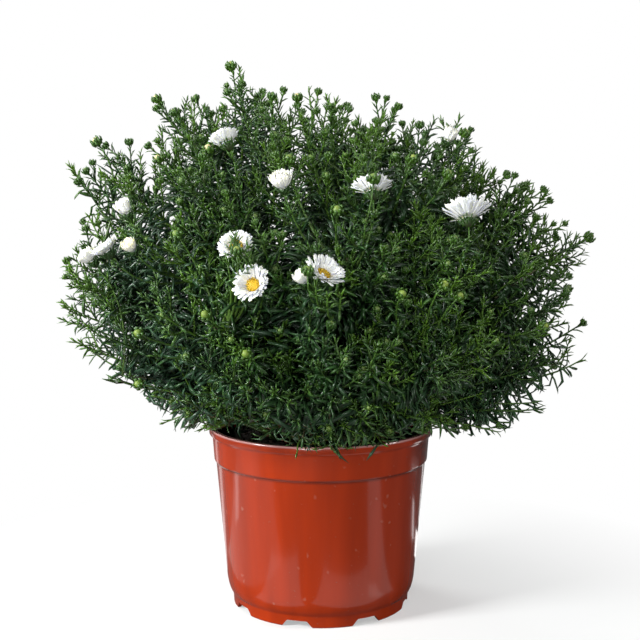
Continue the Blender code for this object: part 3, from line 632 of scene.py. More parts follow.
def model_bud():
    """A bud of unit height along Z, fuller below its middle."""
    deselect()
    bpy.ops.mesh.primitive_uv_sphere_add(
        segments=6, ring_count=5, radius=0.5, location=(0, 0, 0.5)
    )
    bpy.ops.object.transform_apply(location=True, rotation=False, scale=False)
    points, triangles = taken(bpy.context.object)
    points[:, :2] *= (1.12 - 0.3 * points[:, 2:]) * 0.98
    return points, triangles


def model_petal():
    """A petal of unit length along Z and unit width: two grooves, and a tip with three teeth."""
    deselect()
    bpy.ops.mesh.primitive_grid_add(x_subdivisions=4, y_subdivisions=4, size=1.0)
    obj = bpy.context.object
    full_width_at, narrows_at, teeth_at = 0.68, 0.75, 0.9
    for vert in obj.data.vertices:
        across, along = vert.co.x * 2, vert.co.y + 0.5
        width = 0.30 + 0.70 * math.sin(min(along / full_width_at, 1.0) * math.pi / 2)
        width *= 1 - 0.16 * max(along - narrows_at, 0) / (1 - narrows_at)
        wave = math.cos(across * math.pi * 2)
        groove = 0.05 * wave - 0.10 * across * across
        teeth = 0.045 * wave - 0.07 * across * across
        vert.co = (across * width / 2, groove * width, along * (1 + teeth * (along > teeth_at)))
    thick = obj.modifiers.new("Thickness", "SOLIDIFY")
    thick.thickness = 0.07
    thick.offset = 0.0
    applied(obj, thick)
    edit_all()
    return taken(leave_outward())


def model_floret():
    """A disc floret of unit height along Z: a five-sided tube that opens a little at its top."""
    deselect()
    bpy.ops.mesh.primitive_circle_add(vertices=5, radius=0.20, fill_type="NGON")
    edit_all()
    wide = 1.0
    for rise, width in ((0.45, 1.3), (0.40, 1.9), (0.15, 1.5)):
        bpy.ops.mesh.extrude_region_move(TRANSFORM_OT_translate={"value": (0, 0, rise)})
        bpy.ops.transform.resize(value=(width / wide, width / wide, 1))
        wide = width
    bpy.ops.mesh.inset(thickness=0.12, depth=-0.1)
    return taken(leave_outward())


def outline_reach(ways):
    """How far the bush reaches from its middle in unit directions."""
    elevation = np.degrees(np.arcsin(np.clip(ways[:, 2], -1, 1)))
    right, left, deep = (
        np.interp(elevation, *outline) for outline in (RIGHT_OUTLINE, LEFT_OUTLINE, DEPTH_OUTLINE)
    )
    across = ways[:, 0] ** 2 / np.maximum(ways[:, 0] ** 2 + ways[:, 1] ** 2, 1e-12)
    return np.where(ways[:, 0] > 0, right, left) * across + deep * (1 - across)


def depth_inside(points):
    """How far points lie inside the bush's outline."""
    ways = points - BUSH_MIDDLE
    far = np.linalg.norm(ways, axis=1)
    return outline_reach(ways / far[:, None]) - far


def outline_point(x, z, inset, facing=-1):
    """The point at a place seen from the front or the back that is so deep in the outline."""
    depth = halved(
        np.zeros(1), np.full(1, 0.3),
        lambda far: depth_inside(np.array([(x, facing * far[0], z)])) > inset,
    )[0]
    return np.array((x, facing * depth, z))


def clear_of_pot(points):
    """True for points over the lip, outside it, or inside the pot above its soil."""
    gap = 0.0015
    radius = np.hypot(points[:, 0], points[:, 1])
    over_soil = (radius < COLLAR_RADIUS - WALL - 0.002) & (points[:, 2] > SOIL_TOP + 0.001)
    return (points[:, 2] > POT_HEIGHT + gap) | (radius > LIP_RADIUS + gap) | over_soil


def lowest_at(points):
    """How low leaves and tips may hang at each point's angle round the pot."""
    angle = np.degrees(np.arctan2(points[:, 0], -points[:, 1]))
    return np.interp(angle, HANG_AT, HANG_LOWEST)


def droop_at(tip):
    """How much the leaves of a branch hang: most on low branches at the sides and over the rim."""
    top, span = SIDE_DROOP if abs(tip[0]) > LOW_SIDE else RIM_DROOP
    return float(np.clip((top - tip[2]) / span, 0, 1))


def height_share(z):
    """0 by the pot's rim and 1 at the top of the bush."""
    return float(np.clip((z - RIM_LEVEL) / TOP_ABOVE_RIM, 0, 1))


class Fan:
    """The stems' directions and curves, as in the solid."""

    def __init__(self):
        share = (np.arange(STEMS) + 0.5) / STEMS
        lean = np.arccos(1 - (1 - math.cos(LOWEST_STEM)) * share)
        turn = spiral(STEMS, SPIRAL_START)
        outward = np.stack([np.cos(turn), np.sin(turn), np.zeros(STEMS)], axis=1)
        self.ways = outward * np.sin(lean)[:, None] + UP * np.cos(lean)[:, None]
        length = halved(
            np.full(STEMS, 0.05), np.full(STEMS, 0.45),
            lambda far: depth_inside(FAN_POINT + self.ways * far[:, None]) > 0,
        )
        base = outward * (STEM_CIRCLE * np.sqrt(share))[:, None] + UP * SOIL_TOP
        bend = base + outward * (BEND_SPREAD * share)[:, None] + UP * BEND_RISE
        crown = FAN_POINT + self.ways * (length - CORE_BELOW_TIP)[:, None]
        self.courses = list(zip(base, bend, crown))
        self.shares = np.linspace(0, 1, 65)

    def owners(self, points):
        """The stem in whose share of the bush each point lies."""
        return np.argmax(unit(points - FAN_POINT) @ self.ways.T, axis=1)

    def root_on(self, stem, distance):
        """The point of a stem that is so far from the fan point."""
        line = curve_at(self.courses[stem], self.shares)
        far = np.linalg.norm(line - FAN_POINT, axis=1)
        rising = np.maximum.accumulate(far) + np.arange(len(far)) * 1e-9
        share = np.interp(distance, rising, self.shares)
        return curve_at(self.courses[stem], [share])[0]


class Bloom:
    """Where a flower head stands, which way it faces, and the stem that carries it."""

    def __init__(self, row, lift, fan):
        self.name, x, z, turn, rise, self.radius = row
        round_by, up_by = TURNED.get(self.name, (0, 0))
        self.middle = outline_point(x, z, BLOOM_INSET, -1 if abs(turn) < 90 else 1)
        turn, rise = math.radians(turn + round_by), math.radians(rise + up_by)
        self.way = np.array((
            math.sin(turn) * math.cos(rise), -math.cos(turn) * math.cos(rise), math.sin(rise)
        ))
        self.open = lift == OPEN_LIFT
        self.lift = math.radians(lift - SPREAD.get(self.name, 0))
        self.stem = int(np.argmax(fan.ways @ unit(self.middle - FAN_POINT)))
        self.hub = HUB_RADIUS if self.open else HALF_OPEN_HUB
        self.foot = self.middle - self.way * (HUB_THICKNESS / 2 + CUP_DEPTH)
        self.heart = self.middle + self.way * self.radius * math.sin(self.lift) / 2
        reach = max(self.radius * math.cos(self.lift) + 0.001, self.radius * 0.62)
        self.keep_out = reach * 0.92 * NEARNESS.get(self.name, 1)
        self.across, self.over = frame_of(self.way)

    def clears(self, points):
        """True for points outside the bloom and the space just in front of its face."""
        ahead = np.clip((points - self.heart) @ self.way, 0, self.radius * 0.8)
        nearest = self.heart + ahead[:, None] * self.way
        return np.linalg.norm(points - nearest, axis=1) > self.keep_out


def all_blooms(fan):
    """Every bloom of the bush, the open ones first."""
    blooms = [Bloom(row, OPEN_LIFT, fan) for row in OPEN_BLOOMS]
    return blooms + [Bloom(row, HALF_OPEN_LIFT, fan) for row in HALF_OPEN_BLOOMS]


class Bush:
    """Grows shoots on the fan's stems, and turns each stem's growth into a piece."""

    def __init__(self, settings):
        self.settings = settings
        self.random = np.random.default_rng(ARRANGEMENT)
        self.fan = Fan()
        self.blooms = all_blooms(self.fan)
        self.small = model_blade(SMALL_LEAF)
        self.narrow = model_blade(NARROW_LEAF)
        self.bud_shape = model_bud()
        self.growths = [Growth() for _ in range(STEMS)]

    def free(self, points):
        """True for points clear of the pot and of every bloom."""
        keep = clear_of_pot(points)
        for bloom in self.blooms:
            keep &= bloom.clears(points)
        return keep

    def branch_tips(self):
        """Tips over the whole outline, some of them a little inside it."""
        count = self.settings.branches
        number = np.arange(count) + 0.5
        rise = LOWEST_RISE + (1 - LOWEST_RISE) * number / count
        turn = number * GOLDEN_ANGLE
        flat = np.sqrt(1 - rise * rise)
        ways = np.stack([np.cos(turn) * flat, np.sin(turn) * flat, rise], axis=1)
        ways = unit(ways + self.random.normal(0, 0.03, ways.shape))
        lumps = np.array([noise.noise(Vector(way) * LUMPS) for way in ways])
        depth = TIP_DEPTH + TIP_DEPTH_SPREAD * self.random.uniform(0, 1, count) ** 2
        gaps = np.array([noise.noise(Vector(way) * GAPS + Vector((5, 2, 8))) for way in ways])
        side = np.abs(ways[:, 0]) > 0.5
        depth = depth + np.clip(LUMP_DEPTH * (lumps + 0.1), 0, 1) * (1 + side)
        depth = depth + GAP_DEPTH * (gaps > 0.32 - 0.12 * side)
        tips = BUSH_MIDDLE + ways * (outline_reach(ways) - depth)[:, None]
        named = np.array([(x, self.random.uniform(-0.02, 0.02), z) for x, z in OUTLINE_TIPS])
        named -= unit(named - FAN_POINT) * NAMED_TIP_DEPTH
        low = [(x, -math.sqrt(RIM_TIP_RADIUS ** 2 - x * x), z) for x, z in RIM_TIPS]
        tips = np.concatenate([named, low, tips])
        share = np.where(np.abs(tips[:, 0]) > OPEN_SIDE, OPEN_SIDE_SHARE, 1.0)
        share[(np.abs(tips[:, 0]) > LOW_SIDE) & (tips[:, 2] < LOW_SIDE_TOP)] = LOW_SIDE_SHARE
        kept = self.random.uniform(0, 1, len(tips)) < share
        kept[:len(OUTLINE_TIPS)] = True
        return tips[kept & self.free(tips) & (tips[:, 2] > lowest_at(tips) + 0.004)]

    def leaves_along(self, growth, course, leafy, young):
        """Sets leaves in a spiral down the last part of a course, in a close tuft at its tip.

        Leaves low on the bush are longer, wider and more curled.
        """
        length = np.linalg.norm(course[2] - course[0])
        height = height_share(course[2][2])
        droop = droop_at(course[2])
        spacing = self.settings.leaf_spacing * (1.15 - 0.25 * height + 0.7 * droop)
        backs, back = [], 0.0003
        while back < min(leafy, length * 0.96):
            backs.append(back)
            step = spacing * min(1, 0.30 + back * 120) + 0.035 * back
            back += step * self.random.uniform(0.7, 1.25)
        back = np.array(backs)
        count = len(back)
        shares = 1 - back / length
        here = curve_at(course, shares)
        head = headings_at(course, shares)
        out = around(*frames_along(head), spiral(count, self.random.uniform(0, math.tau)))
        grown = np.clip(back / GROWN_BACK, 0, 1)
        old = np.clip((back - GROWN_BACK) / OLD_BACK, 0, 1)
        lean = TIP_LEAN + GROWN_LEAN * grown ** 0.6 + self.random.uniform(-9, 9, count)
        angle = np.radians(lean)
        hang = (0.10 - 0.85 * (1 - height) ** 1.5) * grown
        falling = droop * np.clip(back / 0.010, 0, 1) * self.random.uniform(0.2, 1.4, count)
        hang = hang - falling
        way = unit(
            head * np.cos(angle)[:, None] + out * np.sin(angle)[:, None] + UP * hang[:, None]
        )
        up = head * np.sin(angle)[:, None] - out * np.cos(angle)[:, None]
        roll = self.random.normal(0, 0.35, count)[:, None]
        up = up * np.cos(roll) + np.cross(way, up) * np.sin(roll)
        low = (1 - height) ** 0.8
        size = TIP_LENGTH + LOW_LONGER * low + (GROWN_LONGER + LOW_GROWN_LONGER * low) * grown
        size = (size + OLD_LONGER * (old + falling)) * self.random.uniform(0.65, 1.2, count)
        wide = TIP_WIDTH + GROWN_WIDER * grown + GROWN_WIDER * low * grown
        wide = (wide + OLD_WIDER * (old + falling)) * self.random.uniform(0.8, 1.2, count)
        curl = self.random.uniform(-0.2, 1.5, count) * (0.5 + (0.9 + 0.6 * low) * grown)
        tone = self.random.uniform(0, 1, count)
        fresh = np.clip(young - 0.8 * grown - 0.5 * old - 0.5 * falling, 0, 1)
        growth.leaves.append(blade_rows(here, way, up, size, wide, curl, tone, fresh))

    def shoot(self, growth, course, leafy, sides, young):
        """A leafy twig along a course."""
        length = np.linalg.norm(course[2] - course[0])
        shares = np.linspace(0, 1, 3 + int(length / TWIG_STEP))
        foot = THIN_TWIG_FOOT if sides < 4 else TWIG_FOOT
        radii = np.linspace(foot, TWIG_TIP, len(shares))
        growth.tube(curve_at(course, shares), radii, sides, young, TWIG)
        self.leaves_along(growth, course, leafy, young)

    def bud(self, growth, tip, way, size, young, cream):
        """A round bud wrapped in its scales."""
        points, triangles = self.bud_shape
        across, over = frame_of(way)
        places = tip - way * 0.0005 + (points[:, :1] * across + points[:, 1:2] * over) * size
        places = places + points[:, 2:] * way * size * 1.05
        growth.add(places, triangles, tone_rows(len(points), cream, points[:, 2], young), BUD)
        count = self.settings.scales
        out = around(across, over, spiral(count, self.random.uniform(0, math.tau)))
        step = (np.arange(count) / count)[:, None]
        root = tip + way * step * 0.52 * size + out * size * (0.30 + 0.20 * np.sin(step * 2.6))
        ways = unit(out * (0.80 - 0.8 * step) + way)
        growth.unpruned.append(blade_rows(
            root, ways, unit(way * 0.5 - out), size * 0.62, size * 0.36, -0.5,
            self.random.uniform(0, 1, count), young * 0.5 + 0.2,
        ))

    def end(self, growth, course, young):
        """A bud at the tip of some shoots: more of them towards the top and the outline."""
        height = height_share(course[2][2])
        if self.random.uniform() < 0.07 + 0.36 * height ** 1.2:
            way = unit(course[2] - course[1])
            size = self.random.uniform(*END_BUD)
            self.bud(growth, course[2], way, size, young * 0.5, 0.0)

    def grow_stems(self):
        """The main stems, with large leaves along them and round their upper part."""
        for growth, course in zip(self.growths, self.fan.courses):
            base, bend, _ = course
            below = base + unit(base - bend) * ROOT_DEPTH
            line = np.concatenate([below[None], curve_at(course, np.linspace(0, 1, 14))])
            growth.tube(line, np.linspace(STEM_FOOT, TWIG_TIP, len(line)), 7, 0.0, BARK)
            self.leaves_along(growth, course, BRANCH_LEAFY, 0.5)
            count = self.settings.inner_leaves
            shares = self.random.uniform(0.08, 1.0, count) ** 0.8
            head = headings_at(course, shares)
            out = around(*frames_along(head), self.random.uniform(0, math.tau, count))
            angle = np.radians(self.random.uniform(40, 95, count))
            way = unit(head * np.cos(angle)[:, None] + out * np.sin(angle)[:, None])
            up = head * np.sin(angle)[:, None] - out * np.cos(angle)[:, None]
            away = self.random.uniform(0, INNER_SPREAD, count)[:, None] * shares[:, None]
            length = self.random.uniform(*INNER_LENGTH, count)
            root = curve_at(course, shares) + out * away
            inside = depth_inside(root + way * length[:, None]) > INNER_DEPTH
            # Inner leaves take only the darkest tones, as painted shade deep in the bush.
            growth.leaves.append(blade_rows(
                root, way, up, length, self.random.uniform(*INNER_WIDTH, count),
                self.random.uniform(0.4, 1.8, count), self.random.uniform(0, 0.3, count), 0,
            )[inside])

    def grow_stalks(self):
        """The stalk and the green cup under each bloom."""
        for bloom in self.blooms:
            growth = self.growths[bloom.stem]
            far = np.linalg.norm(bloom.foot - FAN_POINT)
            root = self.fan.root_on(bloom.stem, far - STALK_ROOT)
            bend = bloom.foot - bloom.way * np.linalg.norm(bloom.foot - root) * 0.45
            self.shoot(growth, (root, bend, bloom.foot), STALK_LEAFY, 4, 0.6)
            line = bloom.foot + bloom.way * np.linspace(0, CUP_DEPTH, 4)[:, None]
            growth.tube(line, bloom.hub * CUP_RADII, 10, 0.1, TWIG)
            out = around(bloom.across, bloom.over, spiral(CUP_SCALES))
            level = (np.arange(CUP_SCALES) / CUP_SCALES)[:, None]
            root = bloom.foot + bloom.way * CUP_DEPTH * 0.85 * level
            root = root + out * bloom.hub * (0.45 + 0.5 * np.minimum(level * 1.6, 1))
            growth.unpruned.append(blade_rows(
                root, unit(out * 0.50 + bloom.way), unit(bloom.way * 0.5 - out), CUP_SCALE_LENGTH,
                CUP_SCALE_WIDTH, 0.5, self.random.uniform(0, 1, CUP_SCALES), 0.2,
            ))

    def front_course(self, x, z, proud, upright):
        """The stem and the course of a shoot to a place at the front, so far out of the outline."""
        tip = outline_point(x, z, -proud)
        stem = self.fan.owners(tip[None])[0]
        far = np.linalg.norm(tip - FAN_POINT)
        root = self.fan.root_on(stem, max(far - BRANCH_ROOT, LEAST_ROOT))
        way = unit(unit(tip - BUSH_MIDDLE) + UP * upright)
        return self.growths[stem], (root, tip - way * np.linalg.norm(tip - root) * 0.45, tip)

    def grow_buds(self):
        """The large buds, each at the end of a shoot of its own."""
        for x, z, cream, proud in BUDS:
            growth, course = self.front_course(x, z, proud, 0.1 if proud < 0 else 2.5)
            self.shoot(growth, course, BUD_SHOOT_LEAFY, 4, 0.6)
            way = unit(course[2] - course[1])
            self.bud(growth, course[2], way, self.random.uniform(*LARGE_BUD), 0.5, cream)

    def grow_branches(self):
        """Branches that spread from the stems to the outline, with side shoots along them."""
        tips = self.branch_tips()
        for tip, stem in zip(tips, self.fan.owners(tips)):
            growth = self.growths[stem]
            young = self.random.uniform(0.3, 1.0)
            far = np.linalg.norm(tip - FAN_POINT)
            aside = np.linalg.norm(tip - self.fan.root_on(stem, far))
            root = self.fan.root_on(stem, max(far - BRANCH_ROOT - 0.6 * aside, LEAST_ROOT))
            out = unit(tip - BUSH_MIDDLE)
            elevation = math.degrees(math.asin(out[2]))
            lifted = np.interp(elevation, (-12, 0, 20, 90), (-0.5, 0.1, 0.3, 0))
            way = unit(out + UP * lifted + self.random.normal(0, 0.14, 3))
            course = (root, tip - way * np.linalg.norm(tip - root) * 0.5, tip)
            if clear_of_pot(curve_at(course, np.linspace(0.1, 0.9, 7))).all():
                self.shoot(growth, course, BRANCH_LEAFY, 4, young)
                self.end(growth, course, young)
                self.side_shoots(growth, course, young)

    def side_shoots(self, growth, branch, young):
        """Shoots that leave a branch in a spiral and turn upwards, longer further back."""
        span = np.linalg.norm(branch[2] - branch[0])
        back = self.random.uniform(*FIRST_SIDE_SHOOT)
        turn = self.random.uniform(0, math.tau)
        while back < min(self.settings.shoots_down_to, span * 0.85):
            share = 1 - back / span
            here, ahead = curve_at(branch, (share, share + 0.02))
            head = unit(ahead - here)
            across, over = frame_of(head)
            side = across * math.cos(turn) + over * math.sin(turn)
            angle = math.radians(self.random.uniform(34, 58))
            first = head * math.cos(angle) + side * math.sin(angle)
            way = unit(first + UP * self.random.uniform(0.5, 1.1) + head * 0.4)
            longest = min(SHORTEST_SIDE_SHOOT + 0.48 * back, LONGEST_SIDE_SHOOT)
            length = longest * self.random.uniform(0.75, 1.15)
            tip = here + unit(first + way) * length
            inside = depth_inside(tip[None])[0] > 0.002 and tip[2] > lowest_at(tip[None])[0] + 0.002
            bare = 0.2 + 1.4 * height_share(tip[2])
            low = abs(tip[0]) > LOW_SIDE and self.random.uniform() > bare
            if inside and not low and self.free(np.array((tip, here))).all():
                course = (here, here + first * length * 0.5, tip)
                self.shoot(growth, course, SIDE_SHOOT_LEAFY, 3, young)
                self.end(growth, course, young)
            turn += GOLDEN_ANGLE
            back += self.settings.shoot_gap * self.random.uniform(0.7, 1.3)

    def grow_front_shoots(self):
        """Leafy tips that stand in front of blooms and partly hide them."""
        for x, z in FRONT_SHOOTS:
            growth, course = self.front_course(x, z, FRONT_PROUD, 0.9)
            self.shoot(growth, course, FRONT_LEAFY, 4, 0.7)
            growth.unpruned.append(growth.leaves.pop())

    def stamp_leaves(self, growth):
        """Stamps the leaves that keep clear of the pot and the blooms, and stay in the bush."""
        blades = np.concatenate(growth.leaves)
        keep = np.ones(len(blades), bool)
        for share in (0.35, 0.7, 1.0):
            turn = blades[:, CURL, None] * share + LEAST_CURL
            ahead = np.sin(turn) / turn * share * blades[:, LENGTH, None]
            fall = (np.cos(turn) - 1) / turn * share * blades[:, LENGTH, None]
            points = blades[:, 0:3] + blades[:, 3:6] * ahead + blades[:, 6:9] * fall
            keep &= clear_of_pot(points) & (points[:, 2] > lowest_at(points))
            keep &= depth_inside(points) > -LEAF_OVERHANG
            fringe = (points[:, 2] < FRINGE_TOP) & (np.abs(points[:, 0]) < LIP_RADIUS)
            keep &= ~fringe | (blades[:, TONE] < FRINGE_SHARE)
            for bloom in self.blooms:
                if share > 0.5:
                    keep &= bloom.clears(points)
        blades = blades[keep]
        long = (blades[:, LENGTH] > self.settings.long_leaf) & (blades[:, YOUNG] > 0)
        growth.stamp(self.small, blades[~long], LEAF)
        growth.stamp(self.narrow, blades[long], LEAF)
        if growth.unpruned:
            growth.stamp(self.small, np.concatenate(growth.unpruned), LEAF)


def new_material(name, roughness, specular=0.5):
    """A new material, with its node tree and its shader."""
    material = bpy.data.materials.new(name)
    material.use_nodes = True
    shader = material.node_tree.nodes["Principled BSDF"]
    shader.inputs["Roughness"].default_value = roughness
    shader.inputs["Specular IOR Level"].default_value = specular
    return material, material.node_tree, shader


def colour_mix(tree, first, second, factor):
    """Mixes two colours, each a value or a socket, by a socket."""
    mix = tree.nodes.new("ShaderNodeMix")
    mix.data_type = "RGBA"
    for socket, value in ((mix.inputs[6], first), (mix.inputs[7], second)):
        if isinstance(value, bpy.types.NodeSocket):
            tree.links.new(value, socket)
        else:
            socket.default_value = (*value, 1)
    tree.links.new(factor, mix.inputs[0])
    return mix.outputs[2]


def mapped(tree, value, low, high, to_low=0.0, to_high=1.0):
    """A value taken from one range to another, and kept inside it."""
    node = tree.nodes.new("ShaderNodeMapRange")
    tree.links.new(value, node.inputs["Value"])
    for name, number in (
        ("From Min", low), ("From Max", high), ("To Min", to_low), ("To Max", to_high)
    ):
        node.inputs[name].default_value = number
    return node.outputs["Result"]


def product(tree, first, second):
    """Two values multiplied."""
    node = tree.nodes.new("ShaderNodeMath")
    node.operation = "MULTIPLY"
    tree.links.new(first, node.inputs[0])
    tree.links.new(second, node.inputs[1])
    return node.outputs[0]


def parts_of(tree, vector):
    """The three parts of a vector."""
    parts = tree.nodes.new("ShaderNodeSeparateXYZ")
    tree.links.new(vector, parts.inputs[0])
    return parts.outputs


def place_on_object(tree):
    """The object's own coordinates."""
    return tree.nodes.new("ShaderNodeTexCoord").outputs["Object"]


def tone_parts(tree):
    """Each copy's own tone, the share of its length, and how young it is."""
    attribute = tree.nodes.new("ShaderNodeAttribute")
    attribute.attribute_name = "plant_tone"
    return parts_of(tree, attribute.outputs["Vector"])


def grain_group():
    """Noise on an object's own coordinates, as one node group for all materials."""
    group = bpy.data.node_groups.get("grain")
    if group is None:
        group = bpy.data.node_groups.new("grain", "ShaderNodeTree")
        for name, kind in (("Scale", "Float"), ("Detail", "Float"), ("Stretch", "Vector")):
            group.interface.new_socket(name, in_out="INPUT", socket_type=f"NodeSocket{kind}")
        group.interface.new_socket("Grain", in_out="OUTPUT", socket_type="NodeSocketFloat")
        given = group.nodes.new("NodeGroupInput").outputs
        result = group.nodes.new("NodeGroupOutput").inputs
        fit = group.nodes.new("ShaderNodeMapping")
        texture = group.nodes.new("ShaderNodeTexNoise")
        for source, target in (
            (place_on_object(group), fit.inputs["Vector"]),
            (given["Stretch"], fit.inputs["Scale"]),
            (fit.outputs["Vector"], texture.inputs["Vector"]),
            (given["Scale"], texture.inputs["Scale"]),
            (given["Detail"], texture.inputs["Detail"]),
            (texture.outputs["Fac"], result["Grain"]),
        ):
            group.links.new(source, target)
    return group


def grain(tree, scale, detail=2.0, stretch=(1, 1, 1)):
    """The grain group placed in a material, with its own values."""
    node = tree.nodes.new("ShaderNodeGroup")
    node.node_tree = grain_group()
    for name, value in (("Scale", scale), ("Detail", detail), ("Stretch", stretch)):
        node.inputs[name].default_value = value
    return node.outputs["Grain"]


def layered(tree, shader, base, *layers):
    """Lays each colour over the base where its mask says, and gives the shader the result."""
    for colour, mask in layers:
        base = colour_mix(tree, base, colour, mask)
    tree.links.new(base, shader.inputs["Base Color"])


def bumped(tree, shader, height, strength, distance):
    bump = tree.nodes.new("ShaderNodeBump")
    bump.inputs["Strength"].default_value = strength
    bump.inputs["Distance"].default_value = distance
    tree.links.new(height, bump.inputs["Height"])
    tree.links.new(bump.outputs["Normal"], shader.inputs["Normal"])


def plastic_material(settings):
    """Glossy moulded plastic: faint streaks, dust, dried splashes, painted shade and a painted lip
    highlight.
    """
    material, tree, shader = new_material("pot_plastic_glossy", settings.roughness)
    darker, lighter = [[part * share for part in settings.colour] for share in (0.82, 1.12)]
    streaks = mapped(tree, grain(tree, 60, 3, (1, 1, 0.05)), 0.35, 0.75)
    height = parts_of(tree, place_on_object(tree))["Z"]
    seam = product(
        tree, mapped(tree, height, COLLAR_BOTTOM - 0.0026, COLLAR_BOTTOM - 0.0010, 0.0, 0.65),
        mapped(tree, height, COLLAR_BOTTOM + 0.0016, COLLAR_BOTTOM + 0.0002),
    )
    layered(
        tree, shader, colour_mix(tree, darker, lighter, streaks),
        (DUST, mapped(tree, grain(tree, 420), 0.70, 0.80, 0.0, 0.5)),
        (DRIED_SPLASH, mapped(tree, grain(tree, 150, 1), 0.72, 0.80, 0.0, 0.25)),
        (SEAM_SHADE, seam),
        # painted highlight along the lip's outer edge
        (PAINTED_LIP_HIGHLIGHT, mapped(tree, height, POT_HEIGHT - 0.0018, POT_HEIGHT - 0.0008, 0.0, 0.65)),
        # painted shade on the lip's flat top
        (PAINTED_LIP_TOP_SHADE, mapped(tree, height, POT_HEIGHT - 0.0003, POT_HEIGHT - 0.0001)),
    )
    dullest = settings.roughness + 0.12
    dull = mapped(tree, grain(tree, 14), 0.3, 0.8, settings.roughness, dullest)
    tree.links.new(dull, shader.inputs["Roughness"])
    shader.inputs["Coat Weight"].default_value = 0.3
    shader.inputs["Coat Roughness"].default_value = 0.06
    bumped(tree, shader, grain(tree, 60, 1), 0.05, 0.0006)
    return material


def soil_material():
    """Dark damp peat, with paler crumbs."""
    material, tree, shader = new_material("damp_soil", 0.9, 0.3)
    tone = tone_parts(tree)[0]
    peat = mapped(tree, grain(tree, 900, 3), 0.3, 0.7)
    layered(
        tree, shader, colour_mix(tree, DARK_PEAT, BROWN_PEAT, peat),
        (PALE_CRUMB, mapped(tree, tone, 0.6, 1.0, 0.0, 0.7)),
    )
    bumped(tree, shader, grain(tree, 1200, 4), 0.8, 0.0006)
    return material


def leaf_material(settings):
    """Leaves from dark old ones to yellow-green young ones, each in its own tone.

    Old leaves carry a painted bluish sheen in patches, most on the left, and painted light low on
    the bush.
    """
    material, tree, shader = new_material("aster_leaf", 0.42)
    tone, along, young = tone_parts(tree)
    place = parts_of(tree, place_on_object(tree))
    patches = mapped(tree, grain(tree, 14, 1), 0.38, 0.68)
    # The painted sheen is strongest on the left, where the key light comes from.
    to_the_left = mapped(tree, place["X"], -0.12, 0.04, 0.95, 0.25)
    lighter = [part * 1.5 for part in settings.green]
    layered(
        tree, shader, colour_mix(tree, settings.dark, settings.green, tone),
        (PAINTED_BLUISH_SHEEN, product(tree, patches, to_the_left)),
        # painted light on the leaves low on the bush
        (PAINTED_RIM_LEAF_LIGHT, mapped(tree, place["Z"], 0.135, 0.200, 0.55, 0.0)),
        (settings.fresh, mapped(tree, young, 0.0, 1.0, 0.0, 0.85)),
        (lighter, mapped(tree, along, 0.5, 1.0, 0.0, 0.3)),
    )
    rough = mapped(tree, grain(tree, 180), 0.3, 0.7, 0.26, 0.44)
    tree.links.new(rough, shader.inputs["Roughness"])
    return material


def twig_material(settings):
    """Green twigs, darker and browner towards their foot."""
    material, tree, shader = new_material("aster_twig", 0.5)
    _, along, young = tone_parts(tree)
    layered(
        tree, shader, colour_mix(tree, OLD_TWIG, settings.green, along),
        (settings.fresh, mapped(tree, young, 0.3, 1.0, 0.0, 0.7)),
    )
    bumped(tree, shader, grain(tree, 600), 0.3, 0.0003)
    return material


def bud_material(settings):
    """Green buds, some with the first cream petals at their top."""
    material, tree, shader = new_material("aster_bud", 0.5)
    cream, along, young = tone_parts(tree)
    youngest = [part * 0.9 for part in settings.fresh]
    petals = colour_mix(tree, OPENING_BUD, CREAM_BUD, mapped(tree, cream, 0.4, 0.8))
    layered(
        tree, shader, colour_mix(tree, settings.green, youngest, young),
        (BUD_TOP, mapped(tree, along, 0.6, 1.0, 0.0, 0.6)),
        (petals, product(tree, cream, mapped(tree, along, 0.66, 0.9))),
    )
    bumped(tree, shader, grain(tree, 900), 0.4, 0.0003)
    return material


def bark_material():
    """Main stems: brownish green, rough, paler in streaks."""
    material, tree, shader = new_material("aster_stem", 0.65)
    streaks = grain(tree, 500, 3, (1, 1, 0.2))
    layered(tree, shader, colour_mix(tree, DARK_BARK, PALE_BARK, mapped(tree, streaks, 0.3, 0.7)))
    bumped(tree, shader, streaks, 0.5, 0.0005)
    return material


def petal_material():
    """White petals, each in its own shade, a little green-yellow at their foot."""
    material, tree, shader = new_material("aster_petal", 0.55, 0.35)
    tone, along, closed = tone_parts(tree)
    cream = product(tree, closed, mapped(tree, along, 0.2, 1.0, 0.2, 0.7))
    layered(
        tree, shader, colour_mix(tree, PETAL_SHADE, PETAL_WHITE, tone),
        (PETAL_FOOT, mapped(tree, along, 0.0, 0.22, 0.45, 0.0)), (PETAL_CREAM, cream),
    )
    shader.inputs["Subsurface Weight"].default_value = 0.35
    shader.inputs["Subsurface Radius"].default_value = (0.004, 0.004, 0.003)
    return material


def floret_material():
    """Golden florets, greener in the middle of the disc."""
    material, tree, shader = new_material("aster_floret", 0.5)
    tone, along, inner = tone_parts(tree)
    layered(
        tree, shader, colour_mix(tree, DARK_GOLD, GOLD, mapped(tree, tone, 0.15, 0.6)),
        (FLORET_GREEN, mapped(tree, inner, 0.5, 1.0, 0.0, 0.5)),
        (FLORET_TIP, mapped(tree, along, 0.6, 1.0, 0.0, 0.6)),
    )
    return material


def paper_material():
    """Paper that catches the shadow near the pot, and is plain white to the camera far off."""
    material, tree, shader = new_material("studio_paper", 0.9, 0.1)
    seen = tree.nodes.new("ShaderNodeLightPath").outputs["Is Camera Ray"]
    layered(tree, shader, colour_mix(tree, PAPER_AS_LIGHT, PAPER_SEEN, seen))
    far = tree.nodes.new("ShaderNodeVectorMath")
    far.operation = "LENGTH"
    tree.links.new(place_on_object(tree), far.inputs[0])
    glow = tree.nodes.new("ShaderNodeEmission")
    mix = tree.nodes.new("ShaderNodeMixShader")
    away = mapped(tree, far.outputs["Value"], 0.08, 0.36, 0.40, 1.0)
    for source, target in (
        (product(tree, away, seen), mix.inputs[0]),
        (shader.outputs[0], mix.inputs[1]),
        (glow.outputs[0], mix.inputs[2]),
        (mix.outputs[0], tree.nodes["Material Output"].inputs["Surface"]),
    ):
        tree.links.new(source, target)
    return material


